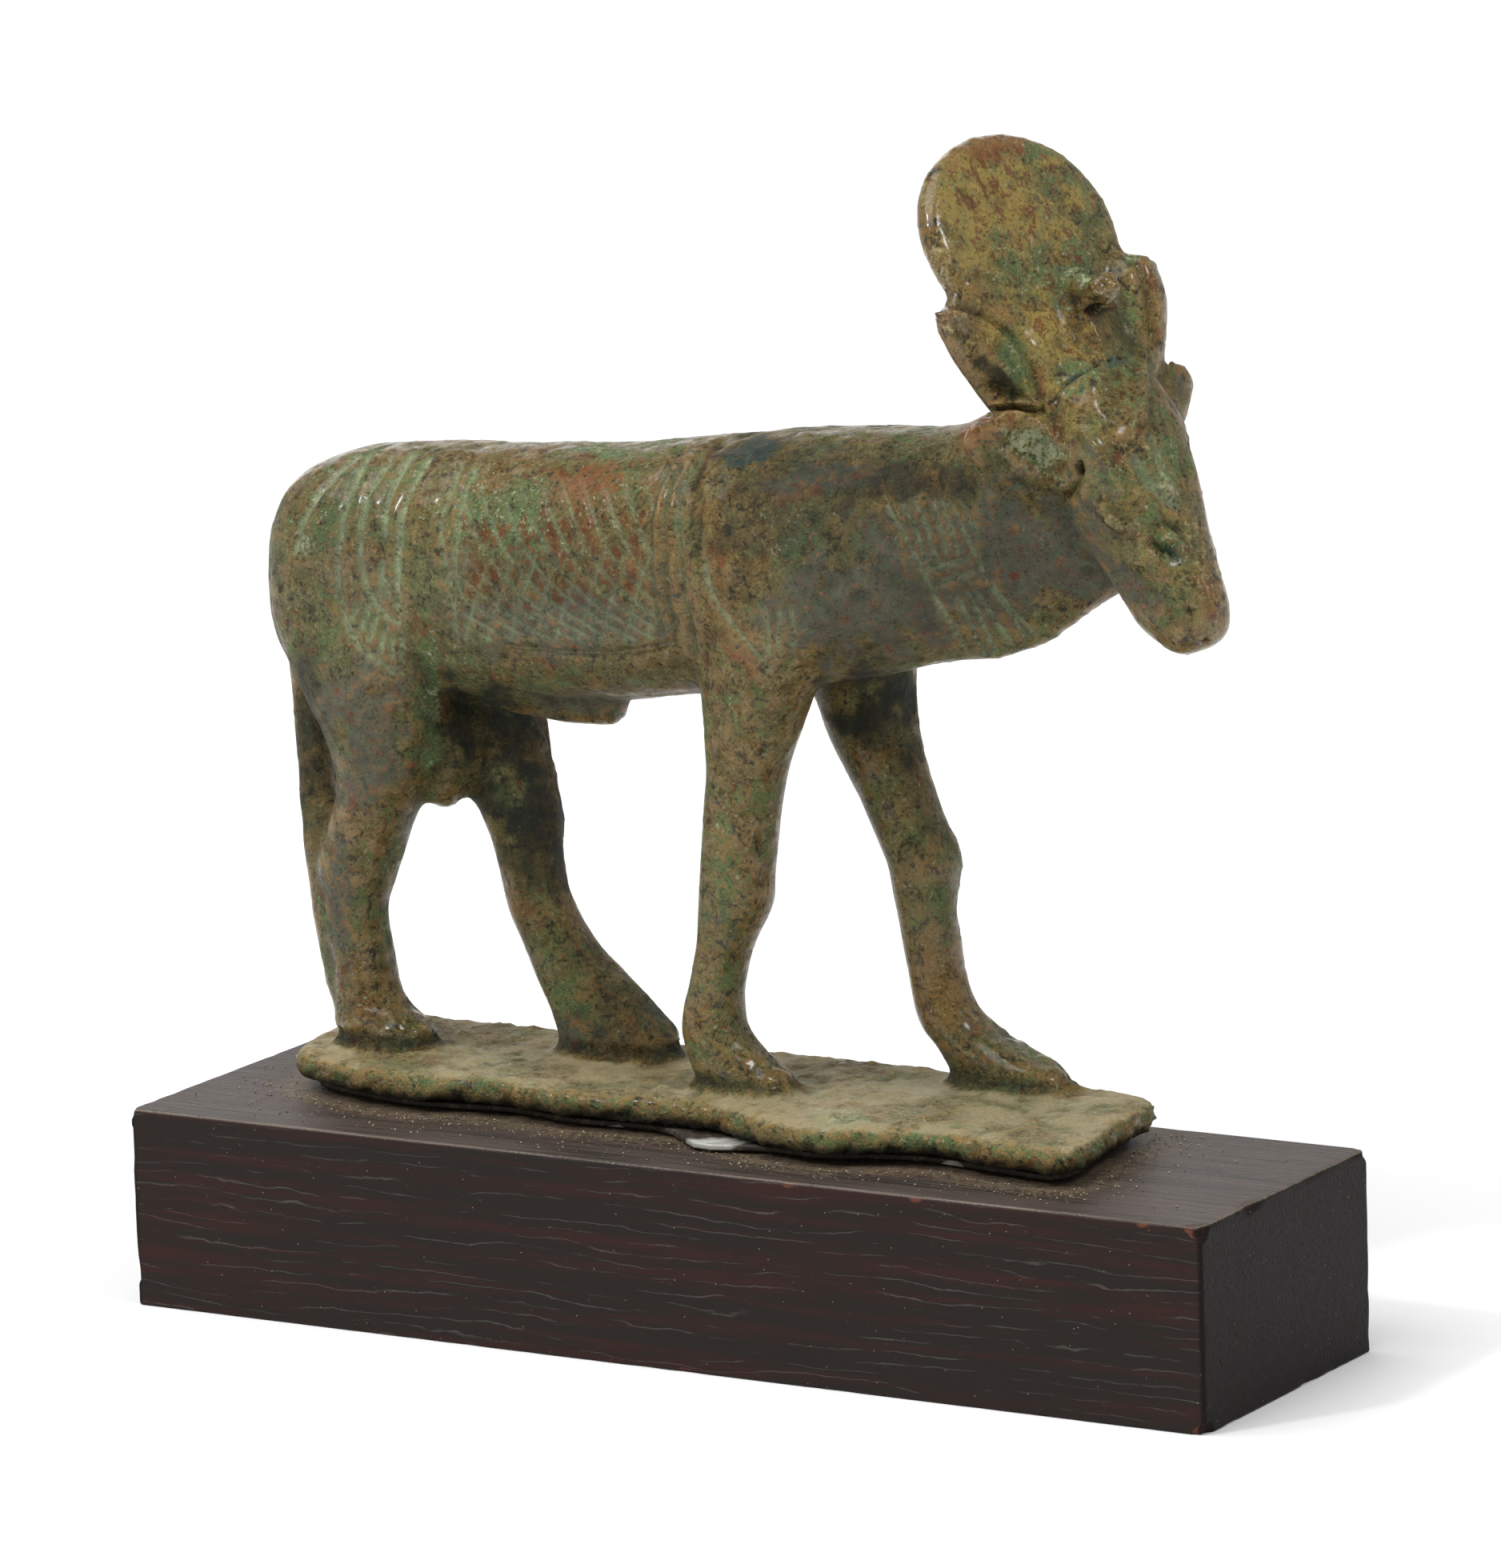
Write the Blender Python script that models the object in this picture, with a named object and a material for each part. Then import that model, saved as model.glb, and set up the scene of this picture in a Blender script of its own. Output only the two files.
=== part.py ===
"""An Apis bull cast in bronze with its thin plinth, bedded on a dark wooden block.

Metres, +Z up. The bull faces +X and the origin is the middle of the block's underside.
The near side of the bull, its right side, is toward -Y.
"""

import math

import bmesh
import bpy
from mathutils import Matrix, Vector

MM = 0.001

# Wooden block
BLOCK_LENGTH = 114 * MM
BLOCK_DEPTH = 32 * MM
BLOCK_HEIGHT = 19 * MM
BLOCK_EDGE = 0.9 * MM
BLOCK_EDGE_STEPS = 3

# Clear bedding between the block and the plinth
FIT = 0.3 * MM
BED_THICKNESS = 0.5 * MM
BED_INSET = 2.2 * MM
BED_SQUEEZE = 4.6 * MM
BED_SQUEEZE_WIDTH = 4.5 * MM
BED_SQUEEZE_X = 1.2 * MM

# Cast plinth under the hooves
PLINTH_LENGTH = 89.6 * MM
PLINTH_DEPTH = 24 * MM
PLINTH_THICKNESS = 2.6 * MM
PLINTH_X = -4.6 * MM
PLINTH_Y = 3.6 * MM
PLINTH_UNDERCUT = 0.5 * MM
PLINTH_BOTTOM = BLOCK_HEIGHT + FIT + BED_THICKNESS + FIT
PLINTH_TOP = PLINTH_BOTTOM + PLINTH_THICKNESS

# Bull, whose stations are ninetieths of its height from the hooves to the top of the disc
BULL_HEIGHT = 90 * MM
PART = BULL_HEIGHT / 90
MIDDLE_Y = 5.0 * PART

# Head and headdress, turned toward the near side and tipped to it
HEAD_PIVOT = (34.0, 5.0, 60.0)
HEAD_TURN = math.radians(-16)
HEAD_TIP = math.radians(5)
DISC_HALF_WIDTH = 11.0 * PART
DISC_HALF_HEIGHT = 10.5 * PART
DISC_THICKNESS = 3.0 * PART
DISC_TAPER = 0.05
DISC_LEAN = math.radians(30)
DISC_CENTRE = (-3.6, 0.0, 19.9)

# Casting skin
SKIN_GRID = 0.55 * MM
SKIN_SMOOTH_STEPS = 4
SKIN_TRIANGLES = 8600
RING_POINTS = 28
CURVE_STEPS = 6
PLINTH_CURVE_STEPS = 5

# How square a section is, from 1 for an ellipse toward 0 for a box
TRUNK_SECTION = 0.88
LEG_SECTION = 0.95
HEAD_SECTION = 0.75

# Plinth edge, as shares of its half length and half depth, from the left end round the front
PLINTH_EDGE = [
    (-1.00, 0.20), (-0.95, -0.52), (-0.79, -0.80), (-0.63, -0.90), (-0.41, -0.78), (-0.22, -0.91),
    (0.08, -0.80), (0.28, -1.10), (0.42, -1.20), (0.54, -1.02), (0.66, -0.92), (0.84, -1.02),
    (0.97, -1.08), (1.00, -0.80), (0.97, -0.10), (0.955, 0.60), (0.85, 0.88), (0.50, 0.96),
    (0.10, 1.00), (-0.35, 0.95), (-0.70, 1.02), (-0.92, 0.98), (-0.99, 0.72),
]

# Body and neck stations: x, back, belly, half width, keel
BODY = [
    (-49.9, 49.6, 41.0, 3.6, 0.0), (-48.6, 53.0, 37.0, 6.6, 0.0), (-46.0, 55.4, 34.5, 8.8, 0.0),
    (-41.0, 57.2, 33.5, 9.6, 0.0), (-33.0, 58.0, 34.4, 9.5, 0.0), (-23.0, 58.4, 34.6, 9.5, 0.0),
    (-12.0, 59.1, 35.2, 10.0, 0.0), (-2.0, 60.4, 36.4, 10.2, 0.1), (8.0, 61.6, 37.8, 9.9, 0.2),
    (16.0, 62.2, 39.4, 9.2, 0.35), (22.0, 62.6, 40.8, 8.3, 0.5), (27.0, 64.6, 41.5, 7.4, 0.6),
    (32.0, 68.0, 43.4, 6.6, 0.6), (36.0, 69.0, 46.4, 5.6, 0.5), (39.5, 65.0, 48.6, 4.4, 0.4),
    (41.5, 58.0, 51.0, 2.6, 0.2),
]

# Leg stations from the top down: x, y, height, half length, half width
NEAR_HIND = [
    (-40.0, 0.6, 50.0, 8.4, 3.4), (-39.8, 0.4, 43.0, 9.0, 5.2), (-38.9, 0.6, 36.0, 7.7, 5.2),
    (-38.4, 1.2, 29.4, 5.4, 4.5), (-38.8, 1.7, 25.4, 4.5, 4.0), (-40.6, 2.0, 21.4, 4.2, 3.6),
    (-42.0, 2.1, 17.4, 4.1, 3.3), (-42.6, 2.2, 13.4, 3.1, 3.0), (-42.3, 2.3, 9.4, 3.0, 3.0),
    (-41.9, 2.4, 5.4, 3.2, 3.1), (-41.0, 2.4, 3.4, 4.2, 3.3), (-39.8, 2.4, 1.8, 5.3, 3.5),
    (-39.8, 2.4, -1.0, 5.5, 3.6),
]
FAR_HIND = [
    (-37.0, 9.6, 50.0, 9.0, 3.6), (-36.5, 9.8, 42.0, 9.4, 5.2), (-33.4, 9.5, 34.0, 7.0, 4.9),
    (-30.0, 9.1, 27.4, 5.0, 4.2), (-27.7, 8.8, 21.4, 3.7, 3.6), (-26.9, 8.6, 17.4, 3.1, 3.3),
    (-25.8, 8.5, 13.4, 3.2, 3.2), (-23.5, 8.4, 9.4, 4.0, 3.2), (-20.0, 8.3, 5.4, 5.4, 3.5),
    (-17.6, 8.0, 2.4, 6.3, 3.9), (-17.6, 7.8, -1.0, 6.5, 4.0),
]
NEAR_FORE = [
    (10.0, 0.4, 56.0, 6.5, 3.2), (7.5, -0.6, 48.0, 8.0, 4.4), (4.6, 0.0, 41.0, 6.6, 4.4),
    (2.6, 0.4, 33.4, 4.5, 3.9), (1.6, 0.5, 28.0, 3.8, 3.5), (0.7, 0.5, 21.4, 3.5, 3.4),
    (0.3, 0.5, 17.4, 3.6, 3.4), (-1.0, 0.5, 13.4, 2.8, 2.9), (-2.1, 0.5, 9.4, 2.7, 2.8),
    (-2.3, 0.5, 5.6, 3.1, 3.1), (-0.6, 0.5, 2.8, 4.4, 3.3), (0.8, 0.4, 1.2, 5.2, 3.5),
    (0.8, 0.4, -1.0, 5.4, 3.6),
]
FAR_FORE = [
    (10.3, 9.6, 52.0, 6.3, 3.6), (8.7, 10.0, 42.0, 5.9, 4.2), (9.4, 10.4, 33.4, 4.6, 3.9),
    (11.0, 10.5, 29.0, 4.0, 3.6), (12.8, 10.5, 25.0, 3.7, 3.4), (14.7, 10.5, 20.8, 3.6, 3.4),
    (14.7, 10.5, 17.4, 3.0, 3.0), (15.1, 10.5, 13.4, 2.7, 2.8), (15.8, 10.6, 9.4, 2.6, 2.8),
    (17.2, 10.7, 5.8, 3.4, 3.2), (20.2, 11.0, 3.4, 4.6, 3.4), (22.6, 11.2, 1.6, 6.2, 3.7),
    (22.8, 11.2, -1.0, 6.4, 3.8),
]

# Tail, sheath and horn stations: x, y, height, radius
TAIL = [
    (-44.6, 5.0, 54.0, 1.8), (-48.2, 4.9, 51.0, 2.2), (-49.0, 4.6, 45.0, 2.0), (-48.4, 4.2, 38.0, 1.9),
    (-47.7, 3.8, 31.0, 1.9), (-47.1, 3.4, 25.0, 1.9), (-46.6, 3.0, 19.0, 1.9), (-45.9, 2.7, 11.0, 1.7),
    (-44.9, 2.5, 4.0, 1.2),
]
SHEATH = [(-28.0, 5.0, 36.5, 3.4), (-21.0, 5.0, 35.0, 2.8), (-15.6, 5.0, 34.0, 1.9), (-14.0, 5.0, 33.4, 1.2)]

# Scrotum as two eggs: middle, then half sizes
EGGS = [((-33.2, 3.8, 28.4), (3.0, 2.5, 5.4)), ((-31.2, 6.6, 28.6), (2.9, 2.4, 5.2))]

# Head stations in the head's frame: forward, height, front, back, half width
HEAD = [
    (1.4, 10.4, 2.4, 2.4, 3.6), (3.5, 7.4, 4.0, 4.2, 5.4), (6.1, 3.0, 4.9, 5.6, 6.2),
    (8.6, -2.0, 4.4, 6.4, 5.7), (11.1, -7.4, 3.9, 5.6, 4.4), (13.2, -11.9, 3.7, 4.7, 3.7),
    (14.5, -14.6, 2.7, 2.7, 3.0), (15.0, -15.7, 1.4, 1.3, 1.8),
]
HEAD_AXIS = (0.42, -0.906)
NEAR_HORN = [
    (1.4, -4.0, 5.6, 2.4), (0.5, -6.3, 7.2, 2.6), (0.1, -8.4, 10.6, 2.8), (-0.9, -10.3, 13.7, 2.5),
    (-2.2, -11.9, 16.4, 1.4),
]
FAR_HORN = [
    (2.6, 4.0, 6.0, 2.8), (2.6, 6.8, 8.4, 3.1), (1.8, 8.6, 11.6, 3.1), (1.0, 9.3, 14.6, 3.0),
    (0.4, 9.6, 17.0, 1.9),
]
HORN_FLATTEN = 0.75
EAR_ROOT = (3.6, 4.0, 0.4)
NEAR_EAR_TIP = (0.4, -12.8, 5.6)
FAR_EAR_TIP = (2.9, 12.9, 5.9)
EAR_HALF_WIDTH = 3.8
EAR_HALF_THICKNESS = 1.3
EAR_FACING = (0.80, 0.55, -0.25)
FAR_EAR_FACING = (1.0, 0.0, 0.1)
CROWN_SEAT = [
    (4.6, -0.4, 3.5, 6.4), (2.7, -0.3, 8.4, 7.4), (0.7, 0.0, 12.4, 7.4), (-1.2, 0.0, 15.8, 6.2),
    (-2.3, 0.0, 18.0, 4.2),
]
CROWN_SEAT_FLATTEN = 0.3
URAEUS_HOOD = [(5.2, 0.6, 4.0, 3.8), (4.0, 0.7, 8.4, 4.0), (2.2, 0.8, 12.2, 3.2), (1.2, 0.9, 15.0, 1.8)]
URAEUS_HOOD_FLATTEN = 0.6
URAEUS_HEAD = [(1.6, 0.9, 14.9, 1.5), (4.0, 1.2, 15.8, 1.6), (6.2, 1.5, 15.5, 1.2)]


def clear_scene():
    for obj in list(bpy.data.objects):
        bpy.data.objects.remove(obj, do_unlink=True)


def material(name, colour, roughness, metallic):
    mat = bpy.data.materials.new(name)
    mat.use_nodes = True
    shader = mat.node_tree.nodes["Principled BSDF"]
    shader.inputs["Base Color"].default_value = (*colour, 1.0)
    shader.inputs["Roughness"].default_value = roughness
    shader.inputs["Metallic"].default_value = metallic
    return mat


def add_object(name, bm, mat):
    bmesh.ops.recalc_face_normals(bm, faces=bm.faces)
    mesh = bpy.data.meshes.new(name)
    bm.to_mesh(mesh)
    bm.free()
    mesh.materials.append(mat)
    obj = bpy.data.objects.new(name, mesh)
    bpy.context.scene.collection.objects.link(obj)
    return obj


def catmull_rom(values, share):
    """A smooth value between values[1] and values[2], of four values that follow one another."""
    a, b, c, d = values
    cube = -a + 3 * b - 3 * c + d
    square = 2 * a - 5 * b + 4 * c - d
    return 0.5 * (2 * b + (c - a) * share + square * share**2 + cube * share**3)


def smooth_path(stations, steps, closed=False):
    """The stations with more between them, each number following a smooth curve."""
    count = len(stations)
    spans = count if closed else count - 1

    def station(index):
        return stations[index % count] if closed else stations[min(max(index, 0), count - 1)]

    path = []
    for span in range(spans):
        around = [station(span + offset) for offset in (-1, 0, 1, 2)]
        for step in range(steps):
            path.append(tuple(catmull_rom(four, step / steps) for four in zip(*around)))
    if not closed:
        path.append(tuple(stations[-1]))
    return path


def loft(bm, rings):
    """A closed skin through rings that have the same number of points."""
    rows = [[bm.verts.new(point) for point in ring] for ring in rings]
    count = len(rows[0])
    for lower, upper in zip(rows, rows[1:]):
        for i in range(count):
            j = (i + 1) % count
            bm.faces.new((lower[i], lower[j], upper[j], upper[i]))
    bm.faces.new(reversed(rows[0]))
    bm.faces.new(rows[-1])


def power(value, exponent):
    return math.copysign(abs(value) ** exponent, value)


def on_plinth(x, y, height):
    """A point of the bull, given in its own parts, in the shared frame."""
    return Vector((x * PART, y * PART, PLINTH_TOP + height * PART))


def head_frame():
    turn = Matrix.Rotation(HEAD_TURN, 4, "Z") @ Matrix.Rotation(HEAD_TIP, 4, "X")
    return Matrix.Translation(on_plinth(*HEAD_PIVOT)) @ turn


def in_head(forward, side, height):
    return head_frame() @ (Vector((forward, side, height)) * PART)


def angles(count=RING_POINTS):
    return [2 * math.pi * i / count for i in range(count)]


def body_ring(x, back, belly, half_width, keel):
    """An upright section of the trunk, narrower toward its keel."""
    middle = (back + belly) / 2
    tall = (back - belly) / 2
    ring = []
    for angle in angles():
        rise = power(math.sin(angle), TRUNK_SECTION)
        narrow = 1 - keel * max(-rise, 0) ** 1.5
        side = half_width * narrow * power(math.cos(angle), TRUNK_SECTION)
        ring.append(on_plinth(x, MIDDLE_Y / PART + side, middle + tall * rise))
    return ring


def leg_ring(x, y, height, half_length, half_width):
    ring = []
    for angle in angles():
        along = half_length * power(math.cos(angle), LEG_SECTION)
        across = half_width * power(math.sin(angle), LEG_SECTION)
        ring.append(on_plinth(x + along, y + across, height))
    return ring


def tube_rings(stations, place, flatten=1.0):
    """Rings square to a path through the stations, flattened from front to back."""
    path = smooth_path(stations, CURVE_STEPS)
    forward, upward = [(place(*axis) - place(0, 0, 0)).normalized() for axis in ((1, 0, 0), (0, 0, 1))]
    points = [place(x, y, z) for x, y, z, _ in path]
    rings = []
    for i, (point, station) in enumerate(zip(points, path)):
        ahead = points[min(i + 1, len(points) - 1)] - points[max(i - 1, 0)]
        ahead.normalize()
        front = forward if abs(ahead.dot(forward)) < 0.8 else upward
        across = ahead.cross(front).normalized()
        front = across.cross(ahead)
        radius = station[3] * PART
        ring = []
        for angle in angles():
            ring.append(point + radius * (math.cos(angle) * across + flatten * math.sin(angle) * front))
        rings.append(ring)
    return rings


def head_rings():
    axis_forward, axis_height = HEAD_AXIS
    rings = []
    for forward, height, front, back, half_width in smooth_path(HEAD, CURVE_STEPS):
        ring = []
        for angle in angles():
            reach = power(math.cos(angle), HEAD_SECTION)
            reach *= front if reach > 0 else back
            side = half_width * power(math.sin(angle), HEAD_SECTION)
            ring.append(in_head(forward - axis_height * reach, side, height + axis_forward * reach))
        rings.append(ring)
    return rings


def ear_rings(ear_tip, ear_facing):
    """A leaf from root to tip, flat across the face it turns forward."""
    tip = Vector(ear_tip)
    outward = math.copysign(1, tip.y)
    root = Vector((EAR_ROOT[0], outward * EAR_ROOT[1], EAR_ROOT[2]))
    along = (tip - root).normalized()
    facing = Vector((ear_facing[0], outward * ear_facing[1], ear_facing[2]))
    facing = (facing - along * facing.dot(along)).normalized()
    across = along.cross(facing)
    steps = 3 * CURVE_STEPS
    rings = []
    for i in range(steps + 1):
        share = i / steps
        wide = EAR_HALF_WIDTH * math.sin(math.pi * (0.22 + 0.76 * share)) ** 0.45
        thick = EAR_HALF_THICKNESS * (1.15 - 0.5 * share)
        centre = root + (tip - root) * share
        ring = []
        for angle in angles():
            point = centre + across * wide * math.cos(angle) + facing * thick * math.sin(angle)
            ring.append(in_head(*point))
        rings.append(ring)
    return rings


def disc_rings():
    """The sun disc as rings from its back to its front, with a rounded rim."""
    centre = Vector(DISC_CENTRE)
    up = Vector((-math.sin(DISC_LEAN), 0, math.cos(DISC_LEAN)))
    out = Vector((math.cos(DISC_LEAN), 0, math.sin(DISC_LEAN)))
    half = DISC_THICKNESS / 2 / PART
    steps = 2 * CURVE_STEPS
    rings = []
    for i in range(steps + 1):
        turn = math.pi * (i / steps - 0.5)
        depth = half * math.sin(turn)
        inset = half * 0.8 * (1 - math.cos(turn))
        ring = []
        for angle in angles(2 * RING_POINTS):
            wide = (DISC_HALF_WIDTH / PART - inset) * math.cos(angle) * (1 + DISC_TAPER * math.sin(angle))
            tall = (DISC_HALF_HEIGHT / PART - inset) * math.sin(angle)
            point = centre + up * tall + out * depth
            ring.append(in_head(point.x, point.y + wide, point.z))
        rings.append(ring)
    return rings


def egg_rings(centre, radii):
    """A ball stretched to three radii, in the bull's parts."""
    rings = []
    steps = 2 * CURVE_STEPS
    for i in range(steps + 1):
        turn = math.pi * (0.02 + 0.96 * i / steps)
        flat = math.sin(turn)
        ring = []
        for angle in angles():
            x = centre[0] + radii[0] * flat * math.cos(angle)
            y = centre[1] + radii[1] * flat * math.sin(angle)
            ring.append(on_plinth(x, y, centre[2] - radii[2] * math.cos(turn)))
        rings.append(ring)
    return rings


def plinth_outline(inset=0.0):
    """The plinth's edge seen from above, drawn in by the inset."""
    half_length = PLINTH_LENGTH / 2 - inset
    half_depth = PLINTH_DEPTH / 2 - inset
    shares = smooth_path(PLINTH_EDGE, PLINTH_CURVE_STEPS, closed=True)
    return [(PLINTH_X + u * half_length, PLINTH_Y + v * half_depth) for u, v in shares]


def plinth_rings():
    levels = [
        (PLINTH_BOTTOM, 1.4 * PLINTH_UNDERCUT),
        (PLINTH_BOTTOM + 0.3 * PLINTH_THICKNESS, 0.3 * PLINTH_UNDERCUT),
        (PLINTH_BOTTOM + 0.7 * PLINTH_THICKNESS, 0.0),
        (PLINTH_TOP, 0.8 * PLINTH_UNDERCUT),
    ]
    return [[Vector((x, y, z)) for x, y in plinth_outline(inset)] for z, inset in levels]


def build_block():
    bm = bmesh.new()
    bmesh.ops.create_cube(bm, size=1.0)
    bmesh.ops.scale(bm, vec=(BLOCK_LENGTH, BLOCK_DEPTH, BLOCK_HEIGHT), verts=bm.verts)
    bmesh.ops.translate(bm, vec=(0, 0, BLOCK_HEIGHT / 2), verts=bm.verts)
    block = add_object("wood_base", bm, material("dark_wood", (0.035, 0.024, 0.022), 0.5, 0.0))
    bevel = block.modifiers.new("worn_edges", "BEVEL")
    bevel.width = BLOCK_EDGE
    bevel.segments = BLOCK_EDGE_STEPS
    block.data.shade_smooth()
    block.data.set_sharp_from_angle(angle=math.radians(35))


def build_bed():
    """A thin clear pad that has squeezed out at the front in one lobe."""
    outline = []
    for x, y in plinth_outline(BED_INSET):
        if y < PLINTH_Y:
            reach = math.exp(-(((x - BED_SQUEEZE_X) / BED_SQUEEZE_WIDTH) ** 2))
            y -= BED_SQUEEZE * reach
        outline.append((x, y))
    bottom = BLOCK_HEIGHT + FIT
    bm = bmesh.new()
    loft(bm, [[Vector((x, y, z)) for x, y in outline] for z in (bottom, bottom + BED_THICKNESS)])
    add_object("adhesive_bed", bm, material("clear_adhesive", (0.75, 0.72, 0.66), 0.25, 0.0))


def build_bull():
    bm = bmesh.new()
    loft(bm, plinth_rings())
    loft(bm, [body_ring(*station) for station in smooth_path(BODY, CURVE_STEPS)])
    for leg in (NEAR_HIND, FAR_HIND, NEAR_FORE, FAR_FORE):
        loft(bm, [leg_ring(*station) for station in smooth_path(leg, CURVE_STEPS)])
    for tube in (TAIL, SHEATH):
        loft(bm, tube_rings(tube, on_plinth))
    for egg in EGGS:
        loft(bm, egg_rings(*egg))
    loft(bm, head_rings())
    loft(bm, disc_rings())
    loft(bm, tube_rings(URAEUS_HEAD, in_head))
    loft(bm, tube_rings(URAEUS_HOOD, in_head, URAEUS_HOOD_FLATTEN))
    loft(bm, tube_rings(CROWN_SEAT, in_head, CROWN_SEAT_FLATTEN))
    for horn in (NEAR_HORN, FAR_HORN):
        loft(bm, tube_rings(horn, in_head, HORN_FLATTEN))
    loft(bm, ear_rings(NEAR_EAR_TIP, EAR_FACING))
    loft(bm, ear_rings(FAR_EAR_TIP, FAR_EAR_FACING))
    bronze = material("patinated_bronze", (0.13, 0.11, 0.045), 0.5, 0.55)
    bull = add_object("apis_bull", bm, bronze)
    join = bull.modifiers.new("cast_in_one", "REMESH")
    join.mode = "VOXEL"
    join.voxel_size = SKIN_GRID
    soften = bull.modifiers.new("soften", "SMOOTH")
    soften.factor = 0.5
    soften.iterations = SKIN_SMOOTH_STEPS
    reduce_to(bull, SKIN_TRIANGLES)


def reduce_to(obj, triangles):
    """Thins the evaluated skin out to about this many triangles."""
    graph = bpy.context.evaluated_depsgraph_get()
    mesh = obj.evaluated_get(graph).to_mesh()
    mesh.calc_loop_triangles()
    count = len(mesh.loop_triangles)
    thin = obj.modifiers.new("thin_out", "DECIMATE")
    thin.ratio = min(1.0, triangles / count)


clear_scene()
build_block()
build_bed()
build_bull()
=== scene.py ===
"""The Apis bull figure as the photograph shows it: engraved, corroded bronze on a dark wooden block.

Metres, +Z up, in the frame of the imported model. The bull's near side is toward -Y.
Engraving, dents, bumps and stains are placed by pixels of the photograph: each point of the near
side is seen through the camera, and the far side repeats it in a mirror.
"""

import math

import bmesh
import bpy
import numpy as np
from mathutils import Matrix, Vector, noise
from mathutils.bvhtree import BVHTree


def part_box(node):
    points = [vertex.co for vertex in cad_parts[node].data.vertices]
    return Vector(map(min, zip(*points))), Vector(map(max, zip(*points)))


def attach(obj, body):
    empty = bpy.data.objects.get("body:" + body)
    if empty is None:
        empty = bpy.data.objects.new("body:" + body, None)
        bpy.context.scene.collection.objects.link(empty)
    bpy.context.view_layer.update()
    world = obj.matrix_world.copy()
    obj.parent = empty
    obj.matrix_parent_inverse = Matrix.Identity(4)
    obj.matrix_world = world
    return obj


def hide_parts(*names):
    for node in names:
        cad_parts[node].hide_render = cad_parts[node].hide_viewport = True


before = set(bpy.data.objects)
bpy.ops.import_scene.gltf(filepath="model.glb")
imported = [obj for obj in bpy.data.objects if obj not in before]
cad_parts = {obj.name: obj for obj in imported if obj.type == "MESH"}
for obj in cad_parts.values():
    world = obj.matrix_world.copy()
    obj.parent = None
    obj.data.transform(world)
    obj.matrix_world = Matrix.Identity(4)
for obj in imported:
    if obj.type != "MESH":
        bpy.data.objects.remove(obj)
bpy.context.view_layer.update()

MM = 0.001

# Photograph and the camera that took it
PHOTO_WIDTH = 1876
PHOTO_HEIGHT = 1960
FOCAL_PIXELS = 12093.0
SENSOR = 36.0
CAMERA_AZIMUTH = math.radians(31.117)
CAMERA_ELEVATION = math.radians(11.491)
CAMERA_ROLL = math.radians(-1.856)
CAMERA_DISTANCE = 897.43 * MM
CAMERA_TARGET_RIGHT = 0.57 * MM
CAMERA_TARGET_UP = 50.43 * MM

# Frame of the bull and of its turned head, as the solids have them
MIDDLE_Y = 5.0 * MM
HEAD_PIVOT = Vector((34.0 * MM, 5.0 * MM, 82.7 * MM))
HEAD_TURN = math.radians(-16)
HEAD_TIP = math.radians(5)
HEAD_LOWEST = -17.0 * MM
HEAD_REARMOST = -9.0 * MM
REAR_SLOPE = 0.1
HEADDRESS_LOWEST = 4.0 * MM
HEADDRESS_OVERHANG = 8.0 * MM
JAW_REARMOST = 4.0 * MM
JAW_SLOPE = 0.35
PLINTH_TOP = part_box("apis_bull")[0].z + 2.6 * MM
BLOCK_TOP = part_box("wood_base")[1].z

# Skins of the pieces
SKIN_GRID = 0.6 * MM
BLOCK_ROUND = 0.3 * MM
BLOCK_FINE = 0.15 * MM
BLOCK_COARSE = 1.1 * MM
BLOCK_BORDER = 2.4 * MM
SMOOTH_ROUNDS = 8
SMOOTH_IN = 0.5
SMOOTH_OUT = -0.53
WEIGHT_ROUNDS = 6
MIRRORED_RELIEF = 0.5
RAY_START = 0.15 * MM
WELD = 0.002 * MM
FARTHEST = 30 * MM
SEAM_PIXELS = 14
SEAM_ROUNDS = 8
COARSE_REACH = 10
FINE_REACH = 4.5

# Engraved lines on the haunch, in pixels of the photograph, then the ring's middle and radius
HAUNCH_LINES = [
    [(447, 568), (423, 590), (402, 614), (386, 638), (373, 664)],
    [
        (460, 570), (447, 596), (436, 622), (429, 648), (428, 670), (423, 692), (421, 724),
        (425, 752), (434, 783), (449, 809), (469, 826), (495, 841), (508, 841),
    ],
    [
        (490, 568), (480, 586), (462, 616), (455, 644), (451, 674), (451, 705), (458, 735),
        (473, 761), (495, 779),
    ],
    [(516, 568), (501, 592), (488, 616), (482, 638), (482, 670)],
    [
        (536, 573), (521, 599), (508, 627), (501, 653), (497, 687), (497, 724), (497, 757),
        (499, 781),
    ],
    [(451, 755), (438, 774)],
    [(460, 761), (449, 789)],
    [(471, 770), (462, 800)],
    [(482, 781), (474, 820)],
    [(490, 796), (489, 822)],
    [(501, 796), (501, 822)],
    [(477, 705), (475, 746)],
    [(484, 729), (483, 748)],
]
HAUNCH_RING = (380, 684, 9)

# Borders of the saddle cloth
CLOTH_BORDERS = [
    [(575, 582), (561, 618), (552, 646), (552, 681), (559, 714), (566, 752), (568, 795)],
    [(597, 582), (582, 611), (575, 646), (571, 681), (568, 710), (572, 745)],
]
CLOTH_HEMS = [
    [(634, 806), (705, 815), (776, 814), (844, 802)],
    [(641, 812), (729, 821), (790, 819), (847, 808)],
]

# Lattice on the saddle cloth: its edges, the row at which both families of lines are placed, then each
# one's crossing, spacing, lean and bend, where the rising one starts, and the rows with rusty cells
CLOTH_LEFT = 572
CLOTH_RIGHT = 822
CLOTH_TOP = 596
CLOTH_BOTTOM = 806
CLOTH_ROW = 611
LATTICE_FALL = (602, 25.8, 0.28, 0.0000165)
LATTICE_RISE = (590, 28.3, -0.42, 0.000002)
RISE_STARTS = 665
CELLS_TOP = 655
CELLS_BOTTOM = 742

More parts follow.
